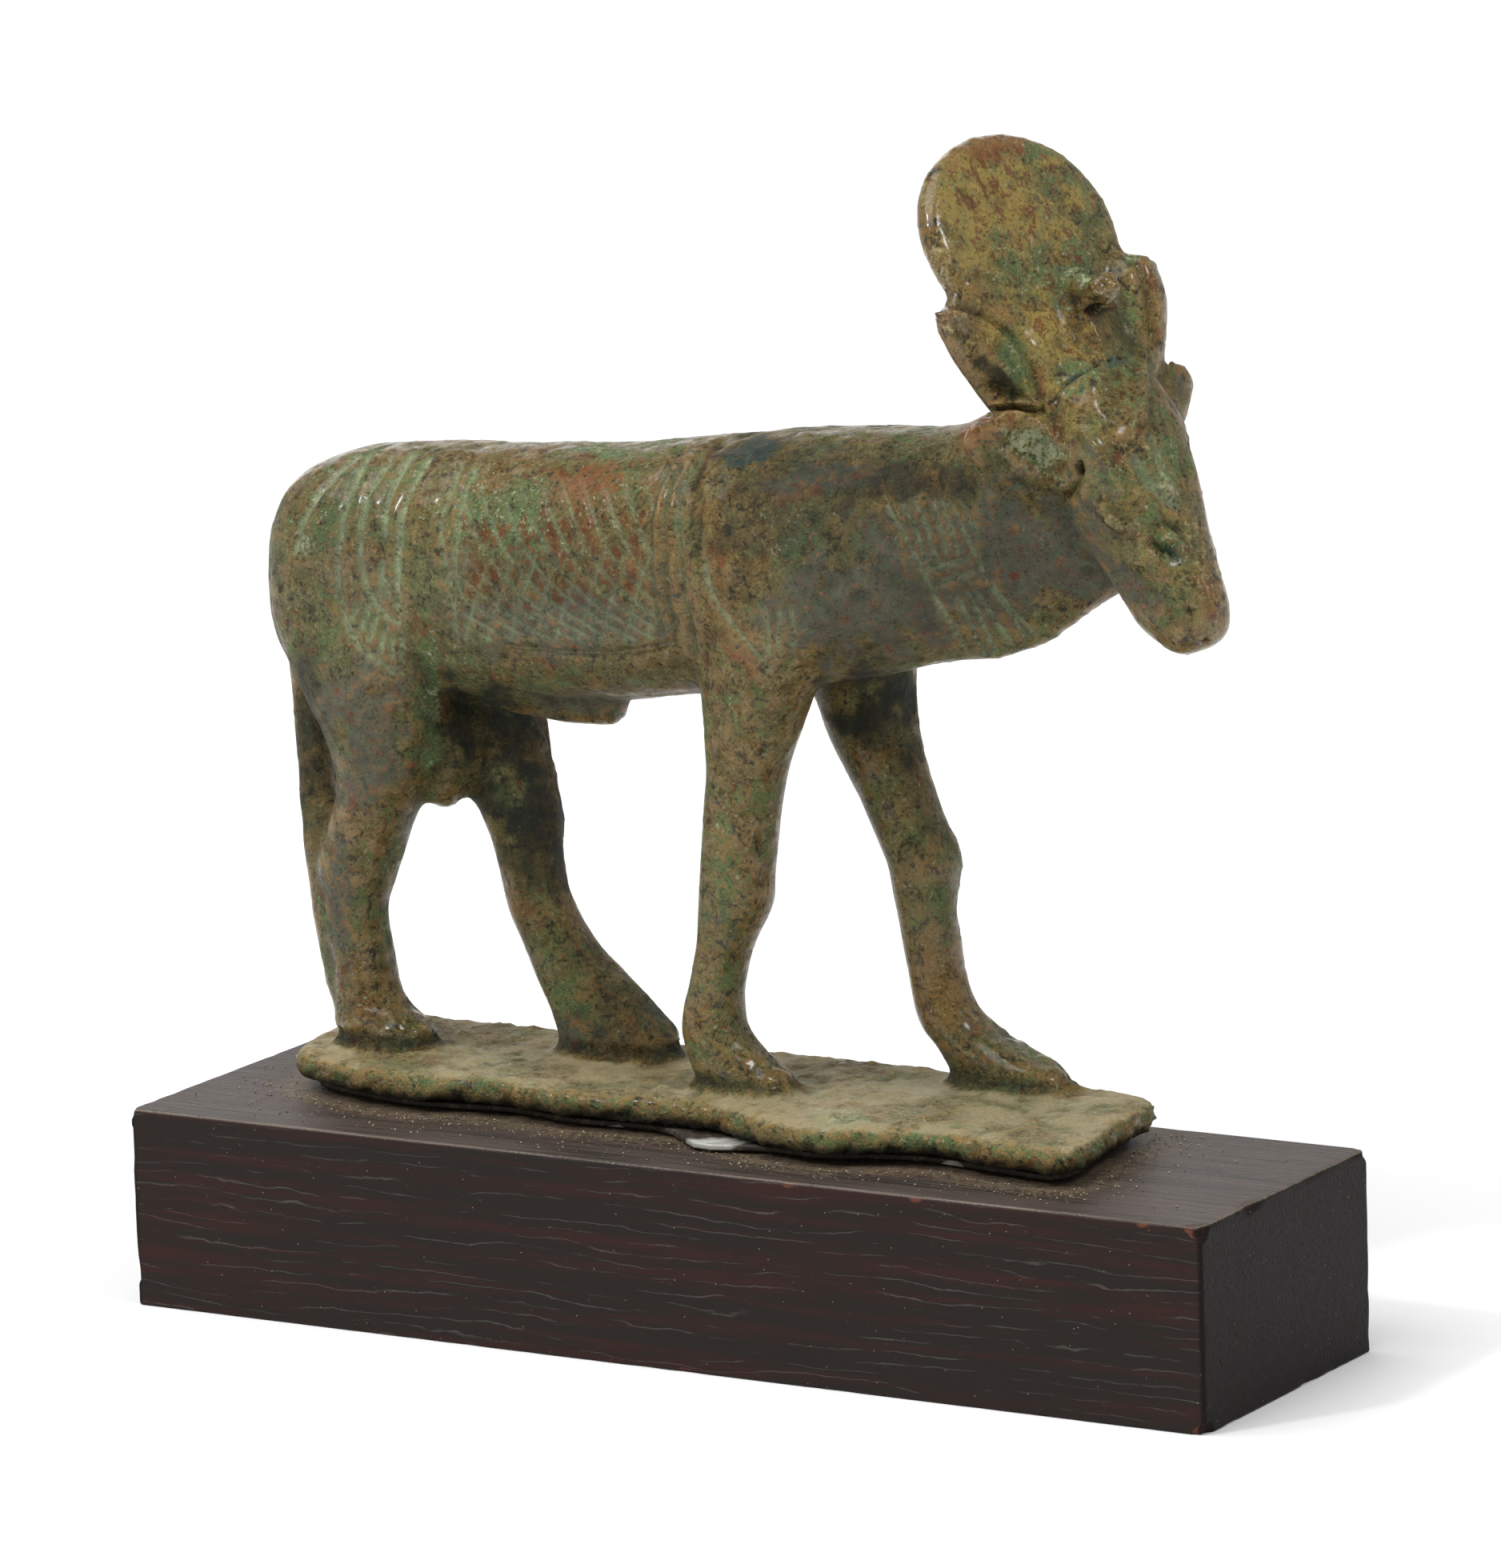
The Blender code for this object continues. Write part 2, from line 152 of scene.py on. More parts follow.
# Girth bands in front of the saddle cloth
BAND_GROOVES = [
    [(834, 584), (821, 618), (814, 658), (816, 710), (818, 748), (829, 790)],
    [(851, 584), (836, 611), (829, 658), (833, 710), (833, 748), (845, 790)],
    [(879, 562), (859, 592), (851, 618), (849, 658), (853, 705), (853, 743), (863, 776), (872, 818)],
]
BAND_RIDGES = [
    [(843, 584), (828, 611), (820, 658), (824, 710), (825, 748), (837, 790)],
    [(868, 568), (849, 592), (842, 618), (840, 658), (844, 705), (844, 743), (854, 776), (863, 818)],
]

# Shoulder and chest
SHOULDER_LINES = [
    [(878, 701), (886, 736), (898, 759), (919, 786), (942, 815), (963, 839)],
    [(957, 762), (960, 818)],
    [(973, 765), (974, 812)],
    [(989, 759), (992, 824)],
]
COLLAR_LINES = [
    [(1106, 627), (1118, 648), (1139, 686), (1150, 710), (1165, 742), (1186, 777), (1206, 812)],
    [(1124, 622), (1142, 657), (1156, 701)],
    [(1137, 616), (1156, 654), (1168, 698)],
    [(1164, 616), (1171, 648), (1183, 695)],
    [(1174, 625), (1186, 657), (1197, 692)],
    [(1186, 627), (1203, 663), (1216, 692), (1230, 715), (1247, 742), (1271, 771), (1294, 795)],
    [(1200, 630), (1221, 671)],
    [(1149, 713), (1177, 707), (1209, 699)],
    [(1171, 733), (1197, 721), (1224, 713)],
    [(1197, 748), (1212, 780), (1232, 818)],
    [(1209, 742), (1227, 777), (1244, 818)],
    [(1221, 742), (1244, 777), (1268, 809)],
    [(1238, 736), (1265, 771), (1285, 803)],
]

# Crease on top of the neck, step in front of the girth bands, parting of the scrotum, and lobes of glue
# in front of the plinth, each with its middle, half sizes and tilt
NECK_RIDGES = [[(975, 618), (1010, 604), (1060, 590), (1110, 583), (1160, 588), (1200, 602)]]
NECK_HOLLOWS = [[(1010, 640), (1060, 618), (1110, 608), (1160, 612)]]
STEP_LINES = [[(896, 556), (880, 572), (868, 600), (864, 641), (866, 690)]]
SCROTUM_LINES = [[(607, 895), (607, 987)]]
GLUE_LOBES = [((888, 1430), (34, 14), 5), ((770, 1413), (14, 8), 5), ((1190, 1458), (16, 8), 5)]

# Lines on the head: grooves of the forehead, the crack, seams of horns and hood, gaps at the ear
FOREHEAD_LINES = [
    [(1438, 548), (1452, 582), (1480, 622)],
    [(1417, 574), (1440, 606), (1471, 633)],
]
CRACK_LINES = [
    [(1302, 510), (1318, 500), (1330, 483), (1344, 472), (1362, 461), (1380, 452), (1397, 447), (1416, 448)],
]
SEAM_LINES = [
    [(1197, 383), (1232, 392), (1262, 415), (1290, 452), (1302, 500)],
    [(1407, 312), (1424, 330), (1437, 372), (1442, 425)],
]
EAR_GAPS = [
    [(1246, 596), (1262, 600), (1295, 610), (1330, 622), (1344, 606), (1347, 580)],
    [(1240, 512), (1270, 511), (1303, 513)],
]
HEAD_RIDGES = [
    [(1172, 394), (1197, 392), (1232, 409), (1264, 436), (1281, 475), (1285, 490)],
    [(1238, 503), (1268, 502), (1299, 507)],
    [(1237, 517), (1277, 518), (1306, 532), (1328, 556)],
    [(1352, 537), (1371, 560), (1388, 590), (1402, 612)],
    [(1424, 443), (1429, 480), (1427, 523)],
    [(1354, 396), (1364, 412), (1372, 430)],
    [(1437, 560), (1450, 590), (1470, 618)],
    [(1440, 694), (1462, 728), (1481, 768)],
]

# Dents and bumps: middle, half sizes and tilt in pixels and degrees, then rise in millimetres
HEAD_FORMS = [
    (1294, 562, 38, 21, 28, -0.8), (1214, 436, 36, 13, 55, -0.5), (1254, 488, 24, 10, 12, -0.9),
    (1345, 350, 18, 14, -20, 0.7), (1382, 357, 22, 13, -12, 0.9), (1372, 388, 17, 5, -5, -0.9),
    (1344, 418, 5, 18, -15, -0.5), (1395, 492, 20, 34, 0, -0.35), (1378, 634, 9, 8, 0, 0.7),
    (1397, 651, 19, 9, 32, 0.85), (1438, 646, 13, 8, 20, 0.8), (1460, 671, 12, 7, 30, 0.9),
    (1456, 687, 20, 5, 28, -0.8), (1466, 656, 17, 4, 28, -0.5), (1422, 736, 34, 16, 48, -0.55),
    (1347, 590, 6, 8, 0, -0.8), (1487, 765, 5, 5, 0, -0.5), (1483, 793, 4, 3, 0, -0.5),
    (1508, 802, 4, 3, 0, -0.5), (1284, 260, 7, 5, 0, 0.25),
]

# Engraved lines of the trunk: width in pixels, depth in millimetres and how much pale crust fills them
ENGRAVINGS = [
    (HAUNCH_LINES, 5.5, 0.28, 1.0),
    (CLOTH_BORDERS, 5.0, 0.24, 0.7),
    (CLOTH_HEMS, 3.6, 0.22, 0.15),
    (BAND_GROOVES, 5.0, 0.34, 0.4),
    (SHOULDER_LINES, 4.6, 0.24, 0.8),
    (COLLAR_LINES, 4.3, 0.28, 0.92),
]
FALL_ENGRAVING = (3.6, 0.22, 0.7)
RISE_ENGRAVING = (5.0, 0.18, 0.5)
RING_ENGRAVING = (3.0, 0.28, 1.0)

# Broader ridges and hollows: width in pixels and rise in millimetres
FOREHEAD_WIDTH = 9
TRUNK_RELIEF = [
    (BAND_RIDGES, 7, 0.3), (SCROTUM_LINES, 9, -0.5), (STEP_LINES, 9, -0.4), (NECK_RIDGES, 18, 0.24),
    (NECK_HOLLOWS, 26, -0.22),
]
HEAD_RELIEF = [
    (HEAD_RIDGES, 9, 0.6), (SEAM_LINES, 9, -0.55), (FOREHEAD_LINES, FOREHEAD_WIDTH, -0.55),
    (EAR_GAPS, 8, -0.7),
]
CRACK_WIDTH = 2.4
CRACK_DEPTH = 0.25

# Cast and corroded skin: size of the features in metres and their rise in millimetres
LUMP_SIZE, LUMP_RISE = 8.0 * MM, 0.16
WEAR_SIZE, WEAR_RISE = 3.2 * MM, 0.12
CRUST_SIZE, CRUST_RISE = 1.3 * MM, 0.06
PIT_SIZE, PIT_DEPTH = 2.1 * MM, 0.14
RIM_SIZE, RIM_RISE = 2.0 * MM, 0.2
RIM_CRUST = 0.12
HOOF_CRUST = 0.2
HEAD_LUMPS = 0.45
FOOT_DEPTH = 0.4

# Stains of the corrosion and patches of painted shade, with ragged edges: middle, half sizes and tilt in
# pixels and degrees, then strength
STAIN_RAGGED = 0.8
STAINS = {
    "cuprite": [
        (1245, 182, 66, 17, -5, 0.9), (742, 606, 66, 32, 0, 0.9), (833, 672, 5, 38, 0, 1.1),
        (1178, 396, 14, 10, 0, 0.9), (1212, 545, 17, 20, 0, 1.1), (1320, 545, 30, 10, 30, 0.5),
        (1244, 526, 30, 8, 8, 1.0), (1284, 260, 9, 6, 0, 1.2), (898, 692, 16, 24, 0, 0.7),
        (1520, 752, 14, 40, -15, 0.7), (925, 817, 36, 12, 42, 0.8), (1005, 614, 36, 10, -15, 0.6),
        (905, 950, 22, 40, 0, 0.4), (1175, 1085, 20, 26, 0, 0.6), (640, 1130, 18, 60, 0, 0.5),
        (1240, 250, 30, 60, -30, 0.3), (1440, 345, 14, 36, -10, 0.5), (660, 1380, 220, 9, 6, 0.5),
        (880, 1405, 60, 9, 8, 0.7), (1240, 1452, 150, 9, 4, 0.6), (1195, 690, 30, 18, 0, 0.4),
        (530, 780, 22, 16, 0, 0.7), (1380, 357, 20, 10, 0, 0.5), (1010, 1440, 60, 9, 4, 0.6),
        (552, 850, 8, 60, 0, 0.8),
    ],
    "verdigris": [
        (620, 640, 62, 58, 0, 0.6), (975, 680, 46, 36, 0, 0.5), (1342, 340, 26, 22, 10, 1.3),
        (1294, 562, 34, 20, 28, 0.5), (1416, 312, 12, 14, 0, 1.0), (440, 620, 80, 50, -30, 0.5),
        (1450, 590, 28, 40, 40, 0.8), (1462, 676, 20, 12, 20, 0.9), (750, 562, 36, 6, 0, 1.5),
        (905, 1070, 16, 90, 0, 0.6), (1265, 225, 10, 10, 0, 0.7), (1350, 470, 34, 26, 0, 0.6),
        (500, 600, 70, 26, 0, 0.5), (1160, 1000, 26, 80, -15, 0.4), (1290, 180, 36, 10, 20, 0.7),
        (920, 1000, 60, 110, 0, 0.35), (900, 1200, 40, 90, 0, 0.35), (1160, 1160, 50, 120, 0, 0.35),
        (440, 1150, 50, 110, 0, 0.3), (720, 1250, 90, 90, 0, 0.3), (1280, 1400, 180, 20, 3, 0.4),
        (1050, 1396, 50, 14, 3, 1.0), (1160, 1428, 60, 12, 4, 1.0), (620, 1350, 60, 10, 6, 0.8),
        (1330, 1385, 80, 12, 5, 0.5), (560, 1330, 120, 20, 8, 0.3), (1300, 330, 50, 60, 0, 0.4),
        (1060, 1370, 60, 10, 0, 0.8), (738, 622, 9, 9, 0, 0.5), (1060, 1440, 60, 12, 0, 0.6),
        (790, 620, 26, 26, 0, 0.5), (1395, 600, 40, 30, 0, 0.5), (600, 880, 26, 16, 0, 0.5),
        (538, 880, 14, 90, 0, 0.9), (496, 1120, 20, 110, 0, 0.7), (1262, 450, 24, 34, -20, 0.9),
    ],
    "slate": [
        (700, 776, 150, 46, 3, 0.9), (1120, 750, 190, 66, -4, 1.1), (440, 880, 66, 66, 20, 0.8),
        (1290, 680, 120, 60, 20, 1.0), (1130, 660, 110, 50, 0, 0.6), (1405, 735, 46, 34, 45, 1.0),
        (1010, 556, 110, 14, 5, 0.5), (1030, 600, 90, 16, -4, 1.0), (345, 700, 16, 160, 0, 0.5),
        (1475, 470, 14, 50, 0, 0.8), (1262, 600, 40, 12, 20, 0.7), (745, 880, 90, 18, 5, 0.8),
        (1048, 584, 70, 9, 3, 0.9), (905, 1150, 24, 60, 0, 0.5), (850, 600, 5, 60, 5, 0.8),
        # The last two on the next line darken the back strip of the plinth top
        (565, 715, 30, 40, 0, 0.6), (640, 1282, 170, 18, 5, 0.9), (1080, 1332, 120, 14, 3, 0.9),
        (465, 930, 50, 90, 15, 0.95), (425, 1130, 22, 110, 0, 0.85),
    ],
    # Dark stains, with painted shade in recesses and grooves and on the far legs
    "dark_stain_and_shade": [
        (1150, 604, 84, 26, 0, 0.6), (1100, 640, 40, 26, 0, 0.4), (1395, 492, 22, 34, 0, 0.5),
        (874, 640, 8, 76, 0, 0.7), (1248, 478, 30, 19, 20, 1.2), (1372, 387, 18, 7, -5, 1.3),
        (600, 905, 66, 44, 0, 0.8), (1090, 890, 56, 70, 0, 0.75), (385, 900, 26, 90, 0, 0.5),
        (660, 1000, 50, 110, 0, 0.75), (1347, 590, 7, 9, 0, 0.9), (1290, 608, 50, 7, 16, 0.7),
        (800, 640, 16, 18, 0, 0.5), (380, 990, 16, 60, 0, 0.5),
    ],
    "azure": [
        (940, 566, 56, 18, -8, 1.0), (1165, 650, 56, 26, 0, 0.5), (1392, 453, 34, 9, -20, 0.8),
        (1462, 692, 24, 16, 40, 0.8), (1090, 930, 60, 80, 0, 0.5), (900, 620, 16, 40, 0, 0.7),
        (650, 960, 60, 60, 0, 0.4), (370, 880, 30, 110, 0, 0.6), (1344, 470, 12, 8, -30, 0.9),
        (590, 1355, 26, 10, 8, 0.8), (1290, 1430, 30, 12, 5, 0.6), (905, 1030, 16, 40, 0, 0.5),
        (1205, 440, 14, 30, -25, 0.7),
    ],
    "ear_crust": [
        (1294, 562, 50, 27, 28, 1.1), (1458, 678, 16, 8, 28, 0.7), (1338, 338, 22, 16, 0, 0.7),
        (1416, 312, 14, 12, 0, 0.7), (1452, 598, 10, 36, -32, 1.1), (414, 590, 10, 6, 0, 0.9),
        (382, 680, 8, 10, 0, 0.9), (752, 562, 30, 5, 0, 0.8),
    ],
    "gilt": [
        (1240, 250, 100, 110, -25, 1.0), (1290, 420, 90, 60, 30, 0.7), (1310, 545, 80, 40, 25, 0.7),
        (1480, 700, 50, 120, -25, 0.5), (1400, 620, 50, 50, 0, 0.5), (1440, 380, 30, 90, -10, 0.5),
        (1000, 1440, 420, 14, 4, 0.6), (925, 1350, 50, 24, 0, 0.5), (1240, 1350, 60, 24, 20, 0.5),
    ],
    # Painted shade, most of it on the far legs, the belly, the tail and the front of the trunk
    "painted_shade": [
        (1060, 660, 200, 84, 0, 0.5), (1100, 900, 60, 90, 0, 1.0), (660, 1000, 60, 130, 0, 1.0),
        (600, 900, 60, 50, 0, 0.9), (382, 940, 26, 130, 0, 0.8), (940, 566, 60, 24, 0, 0.7),
        (1150, 600, 110, 30, 0, 0.8), (740, 1180, 40, 60, 30, 0.6), (760, 1280, 60, 40, 20, 0.6),
        (1130, 1040, 30, 60, -20, 0.5), (700, 720, 130, 60, 0, 0.35), (440, 690, 70, 80, 0, 0.25),
        (970, 640, 90, 80, 0, 0.7), (1050, 590, 160, 30, 5, 0.7), (1200, 700, 120, 80, 0, 0.5),
        (1170, 600, 60, 34, 0, 0.8), (600, 980, 60, 60, 0, 0.4),
    ],
    "glaze": [
        (1172, 300, 20, 90, -12, 1.1), (1262, 262, 100, 90, 0, 0.5), (1502, 700, 24, 70, -15, 1.1),
        (1393, 640, 32, 22, 25, 1.1), (1318, 545, 30, 12, 30, 0.9), (1400, 575, 44, 36, 0, 0.7),
        (430, 650, 60, 90, 0, 0.5), (1230, 1335, 80, 26, 15, 0.8), (925, 1345, 50, 24, 0, 0.7),
        (490, 1290, 60, 22, 0, 0.6), (1380, 365, 30, 26, 0, 1.0), (1190, 1050, 14, 30, 0, 0.6),
        (1190, 400, 26, 14, 20, 1.1), (1440, 360, 20, 50, 0, 0.5), (1160, 1055, 18, 24, 0, 1.0),
        (1362, 415, 8, 18, -20, 1.0), (500, 1420, 300, 20, 8, 0.3),
    ],
}

# Screen colours that two layers share, or that lie under the others
GOLD_BROWN = "7c602a"
UMBER = "28220d"
LIGHT_OLIVE = "978c5c"
PALE_VERDIGRIS = "b0bb92"
SLATE_GREY = "605e4f"
# Dark green of the slate's flecks and of the painted shade
DARK_FLECK_AND_SHADE = "1b231c"
BLACK_BROWN = "1f1c0e"
EBONY = "25201d"
DUST = "6a5c48"
CRUMB_PALE = "b7a988"
# Dark glue with the painted shadow of the gap under the plinth
GLUE_AND_GAP_SHADE = "2a241a"
GLUE_MILKY = "c3c3ba"

# Chips of the block: place as shares of its length, depth and height, then reach and depth in millimetres
CHIPS = [
    ((1.0, 0.0, 1.0), 1.7, 0.55), ((1.0, 0.297, 1.0), 1.2, 0.35), ((1.0, 0.0, 0.0), 1.6, 0.5),
    ((0.0, 0.0, 1.0), 1.0, 0.3), ((0.6316, 0.0, 1.0), 0.8, 0.25), ((0.7456, 0.0, 1.0), 0.8, 0.3),
    ((0.0, 0.0, 0.158), 1.1, 0.3), ((0.0, 1.0, 1.0), 1.4, 0.4), ((1.0, 1.0, 1.0), 1.2, 0.35),
    ((0.2368, 1.0, 1.0), 1.0, 0.3), ((0.693, 1.0, 0.0), 1.1, 0.3), ((0.3246, 0.0, 0.0), 0.9, 0.25),
    ((0.9518, 0.0, 1.0), 0.9, 0.35), ((1.0, 0.594, 0.0), 0.9, 0.25), ((0.0, 0.656, 0.0), 1.0, 0.3),
]
EDGE_WEAR = 0.12
EDGE_REACH = 0.45 * MM
PORE_SPACING = 0.55 * MM
CRUMBS = 900
CRUMB_REACH = 6.0 * MM
CRUMB_SIZES = (0.04 * MM, 0.12 * MM)
CRUMB_CLEARANCE = 1.3 * MM
SEED = 11

# Clouds of each material: size in millimetres, detail, roughness, distortion and, for some, stretch
BRONZE_CLOUDS = {
    "broad": (7.0, 6, 0.62, 0.4),
    "patch": (2.8, 8, 0.66, 0.5),
    "fleck": (1.05, 8, 0.7, 0.9),
    "other": (1.4, 8, 0.7, 0.7, (1.0, 1.2, 0.62)),
    "third": (0.85, 7, 0.7, 0.4, (0.9, 1.1, 0.7)),
    "speck": (0.4, 6, 0.7, 0.0),
    "grain": (0.15, 3, 0.6, 0.0),
    "fine": (0.28, 4, 0.65, 0.5),
    "spot": (0.8, 2, 0.5, 0.0),
}
WOOD_CLOUDS = {
    "streak": (1.5, 6, 0.68, 0.0, (0.045, 1.0, 1.0)),
    "fibre": (0.42, 5, 0.65, 0.0, (0.03, 1.0, 1.0)),
    "sway": (4.5, 2, 0.5, 0.0, (0.3, 1.0, 1.0)),
    "ripple": (0.9, 3, 0.6, 0.0, (0.5, 1.0, 1.0)),
    "gate": (0.9, 3, 0.6, 0.0, (0.08, 1.0, 1.0)),
    "fine": (0.3, 3, 0.6, 0.0),
    "speck": (1.2, 6, 0.7, 0.0),
}

# Layers of each material, from the ground up. A layer has a name, a colour, the weights of the values
# that place it, the sum at which it starts and the one at which it is full, its strength there and, for
# some, the stored value that it is kept to. Without the two sums, its share is the sum times its strength.
GROUND_LAYERS = [
    ("olive", "63643a", {"broad": 0.5, "fleck": 0.3, "speck": 0.2}, (0.42, 0.56), 1.0),
    ("russet", "5f3a11", {"other": 0.55, "speck": 0.25, "patch": 0.2}, (0.52, 0.59), 0.75),
    ("light", LIGHT_OLIVE, {"third": 0.5, "speck": 0.5}, (0.52, 0.60), 0.75),
    ("dark", UMBER, {"fleck": 0.5, "third": 0.3, "speck": 0.2}, (0.49, 0.42), 0.95),
    ("golden", "ac9346", {"gilt": 0.3, "third": 0.4, "speck": 0.3}, (0.42, 0.66), 0.9),
    (
        "green", "5f7748", {"patch": 0.4, "third": 0.35, "broad": 0.25, "verdigris": 0.13, "dust": -0.04},
        (0.525, 0.585), 0.8,
    ),
    ("light_fleck", LIGHT_OLIVE, {"fine": 1.0}, (0.55, 0.65), 0.5),
    ("dark_fleck", UMBER, {"fine": 1.0}, (0.46, 0.35), 0.75),
]
SLATE_LAYERS = [
    ("slate_green", "5f6953", {"third": 0.6, "speck": 0.4}, (0.48, 0.54), 1.0),
    ("slate_pink", "765e4d", {"fleck": 0.5, "speck": 0.5}, (0.51, 0.56), 1.0),
    ("slate_dark", DARK_FLECK_AND_SHADE, {"fine": 0.6, "other": 0.4}, (0.48, 0.38), 0.7),
]
SLATE_PLACES = ({"slate": 0.4, "other": 0.4, "speck": 0.3}, (0.44, 0.70), 0.92)
CRUST_LAYERS = [
    ("blue_green", "33514c", {"azure": 0.3, "fleck": 0.5, "speck": 0.3}, (0.56, 0.66), 0.85),
    (
        "rust", "6f3a14", {"other": 0.6, "fleck": 0.4, "cuprite": 0.07, "cells": 0.07, "gilt": 0.04},
        (0.565, 0.595), 0.85,
    ),
    ("red", "8a5527", {"cuprite": 0.2, "third": 0.5, "speck": 0.5}, (0.61, 0.67), 0.7),
    ("brick", "8c4528", {"cuprite": 0.2, "third": 0.5, "speck": 0.5}, (0.73, 0.78), 0.6),
    ("copper", "b0755a", {"spot": 1.0}, (0.72, 0.75), 0.8),
    (
        "pale", PALE_VERDIGRIS, {"speck": 0.5, "fleck": 0.5, "verdigris": 0.07, "slate": -0.05},
        (0.570, 0.62), 0.8,
    ),
    ("mint", "a0b48c", {"verdigris": 0.12, "third": 0.5, "speck": 0.4}, (0.62, 0.66), 0.8),
    ("crust", "babf99", {"ear_crust": 0.26, "third": 0.45, "speck": 0.6, "fine": 0.4}, (0.86, 1.04), 0.85),
    ("filled", PALE_VERDIGRIS, {"speck": 0.6, "patch": 0.4}, (0.38, 0.52), 0.9, "groove"),
    ("worn_metal", "9a7740", {"fleck": 1.0}, (0.46, 0.56), 0.7, "edge"),
    # Darker in the hollows
    ("hollow_darkening", BLACK_BROWN, {"speck": 1.0}, (0.40, 0.55), 0.6, "cavity"),
    # Dark stains, with painted shade in recesses and on the far legs
    ("stain_and_shade_layer", "23200f", {"dark_stain_and_shade": 0.4, "speck": 0.4, "other": 0.4}, (0.50, 0.80), 0.9),
    ("pinhole", BLACK_BROWN, {"crumb": 1.0, "speck": 0.5}, (0.37, 0.31), 0.8),
    ("fissure", BLACK_BROWN, {"crack": 1.0}, None, 0.6),
    # Painted shade
    ("shade_layer", DARK_FLECK_AND_SHADE, {"patch": 1.0}, (0.22, 0.52), 0.85, "painted_shade"),
    # Painted glints and sparkles of light
    ("painted_glint", "c2b37c", {"glaze": 0.1, "speck": 0.5, "third": 0.4, "edge": 0.05}, (0.56, 0.66), 0.55),
    ("painted_sparkle", "e6dfc0", {"glaze": 0.1, "speck": 0.5, "third": 0.4, "edge": 0.05}, (0.64, 0.70), 0.7),
    ("dusty", "a39775", {"dust": 0.4, "patch": 0.35, "speck": 0.35}, (0.44, 0.84), 0.78),
]
SHINE = {
    "glaze": 0.6, "green": -0.375, "pale": -0.2, "edge": 0.3, "slate_crust": -0.2, "speck": 0.6, "dust": -0.8,
    "dark_stain_and_shade": -0.6, "painted_shade": -0.5,
}
BRONZE_HEIGHT = {"fleck": 0.9, "speck": 0.6, "fine": 0.35, "grain": 0.2, "pinhole": -0.2, "pale": 0.1}
BRONZE_ROUGHNESS = (0.58, 0.22)
BRONZE_BUMP = 0.55 * MM
WOOD_LAYERS = [
    ("ruddy", "331f1c", {"streak": 0.75, "fibre": 0.25}, (0.44, 0.62), 1.0),
    ("fibrous", EBONY, {"fibre": 1.0}, (0.5, 0.66), 0.5),
    ("open_pore", "66625d", {"pore": 1.0}, None, 0.36),
    ("bare", "5a352a", {"worn": 0.6, "fine": 0.5}, (0.48, 0.62), 1.0),
    # Painted shade on the ends of the block
    ("painted_end_shade", "120e0c", {"end": 1.0}, None, 0.9),
    # Rubbed edges, with a painted highlight along the top edges
    ("worn_edge_and_highlight", "877d73", {"edge": 0.4, "top": 0.3, "streak": 0.4, "fine": 0.3}, (0.84, 1.02), 0.8),
    # Painted sheen: the top face made lighter
    ("painted_top_sheen", "4c423c", {"fibre": 0.7, "streak": 0.3}, (0.36, 0.56), 0.75, "top"),
    ("dusting", DUST, {"dust": 0.24, "fine": 0.5, "speck": 0.5}, (0.64, 0.78), 0.7),
    ("crumbs", CRUMB_PALE, {"speckle": 1.0}, (0.055, 0.035), 0.6),
]
WOOD_ROUGHNESS = (0.34, 0.62)
WOOD_BUMP = 0.16 * MM

# Studio: each light's kind, place, strength and shape
FLOOR_HALF = 6.0
FLOOR_COLOUR = (0.78, 0.78, 0.78, 1)
SKY_STRENGTH = 0.38
LIGHT_TARGET = Vector((0, 0, 0.06))
LIGHTS = {
    "soft_sun": ("SUN", (-0.3, -0.4, 1.2), 2.6, {"angle": math.radians(60)}),
    "front_lamp": ("AREA", (-0.5, -0.9, 1.0), 5.0, {"shape": "DISK", "size": 0.12}),
    "back_softbox": ("AREA", (-0.9, 1.3, 0.45), 3.5, {"shape": "DISK", "size": 1.0}),
    "right_softbox": ("AREA", (0.75, -0.15, 0.95), 4.0, {"shape": "DISK", "size": 0.25}),
}


def photo_axes():
    """Right, up and back of the camera."""
    back = Vector(
        (
            math.sin(CAMERA_AZIMUTH) * math.cos(CAMERA_ELEVATION),
            -math.cos(CAMERA_AZIMUTH) * math.cos(CAMERA_ELEVATION),
            math.sin(CAMERA_ELEVATION),
        )
    )
    level = Vector((math.cos(CAMERA_AZIMUTH), math.sin(CAMERA_AZIMUTH), 0.0))
    upright = back.cross(level)
    right = math.cos(CAMERA_ROLL) * level + math.sin(CAMERA_ROLL) * upright
    up = -math.sin(CAMERA_ROLL) * level + math.cos(CAMERA_ROLL) * upright
    return right, up, back


RIGHT, UP, BACK = photo_axes()
CAMERA_PLACE = CAMERA_TARGET_RIGHT * RIGHT + CAMERA_TARGET_UP * UP + CAMERA_DISTANCE * BACK


def add_to_scene(obj):
    bpy.context.scene.collection.objects.link(obj)


def mesh_of(bm, name):
    mesh = bpy.data.meshes.new(name)
    bm.to_mesh(mesh)
    bm.free()
    return mesh


def add_camera():
    data = bpy.data.cameras.new("photo_camera")
    data.sensor_fit = "VERTICAL"
    data.sensor_height = SENSOR
    data.lens = FOCAL_PIXELS / PHOTO_HEIGHT * SENSOR
    data.clip_start = 0.01
    data.clip_end = 50.0
    camera = bpy.data.objects.new("photo_camera", data)
    turn = Matrix((RIGHT, UP, BACK)).transposed().to_4x4()
    camera.matrix_world = Matrix.Translation(CAMERA_PLACE) @ turn
    add_to_scene(camera)
    bpy.context.scene.camera = camera


def photo_pixels(points):
    """Where the camera sees each point, in pixels of the photograph."""
    offset = points - np.array(CAMERA_PLACE)
    depth = -(offset @ np.array(BACK))
    across = PHOTO_WIDTH / 2 + FOCAL_PIXELS * (offset @ np.array(RIGHT)) / depth
    down = PHOTO_HEIGHT / 2 - FOCAL_PIXELS * (offset @ np.array(UP)) / depth
    return np.stack([across, down], axis=1)


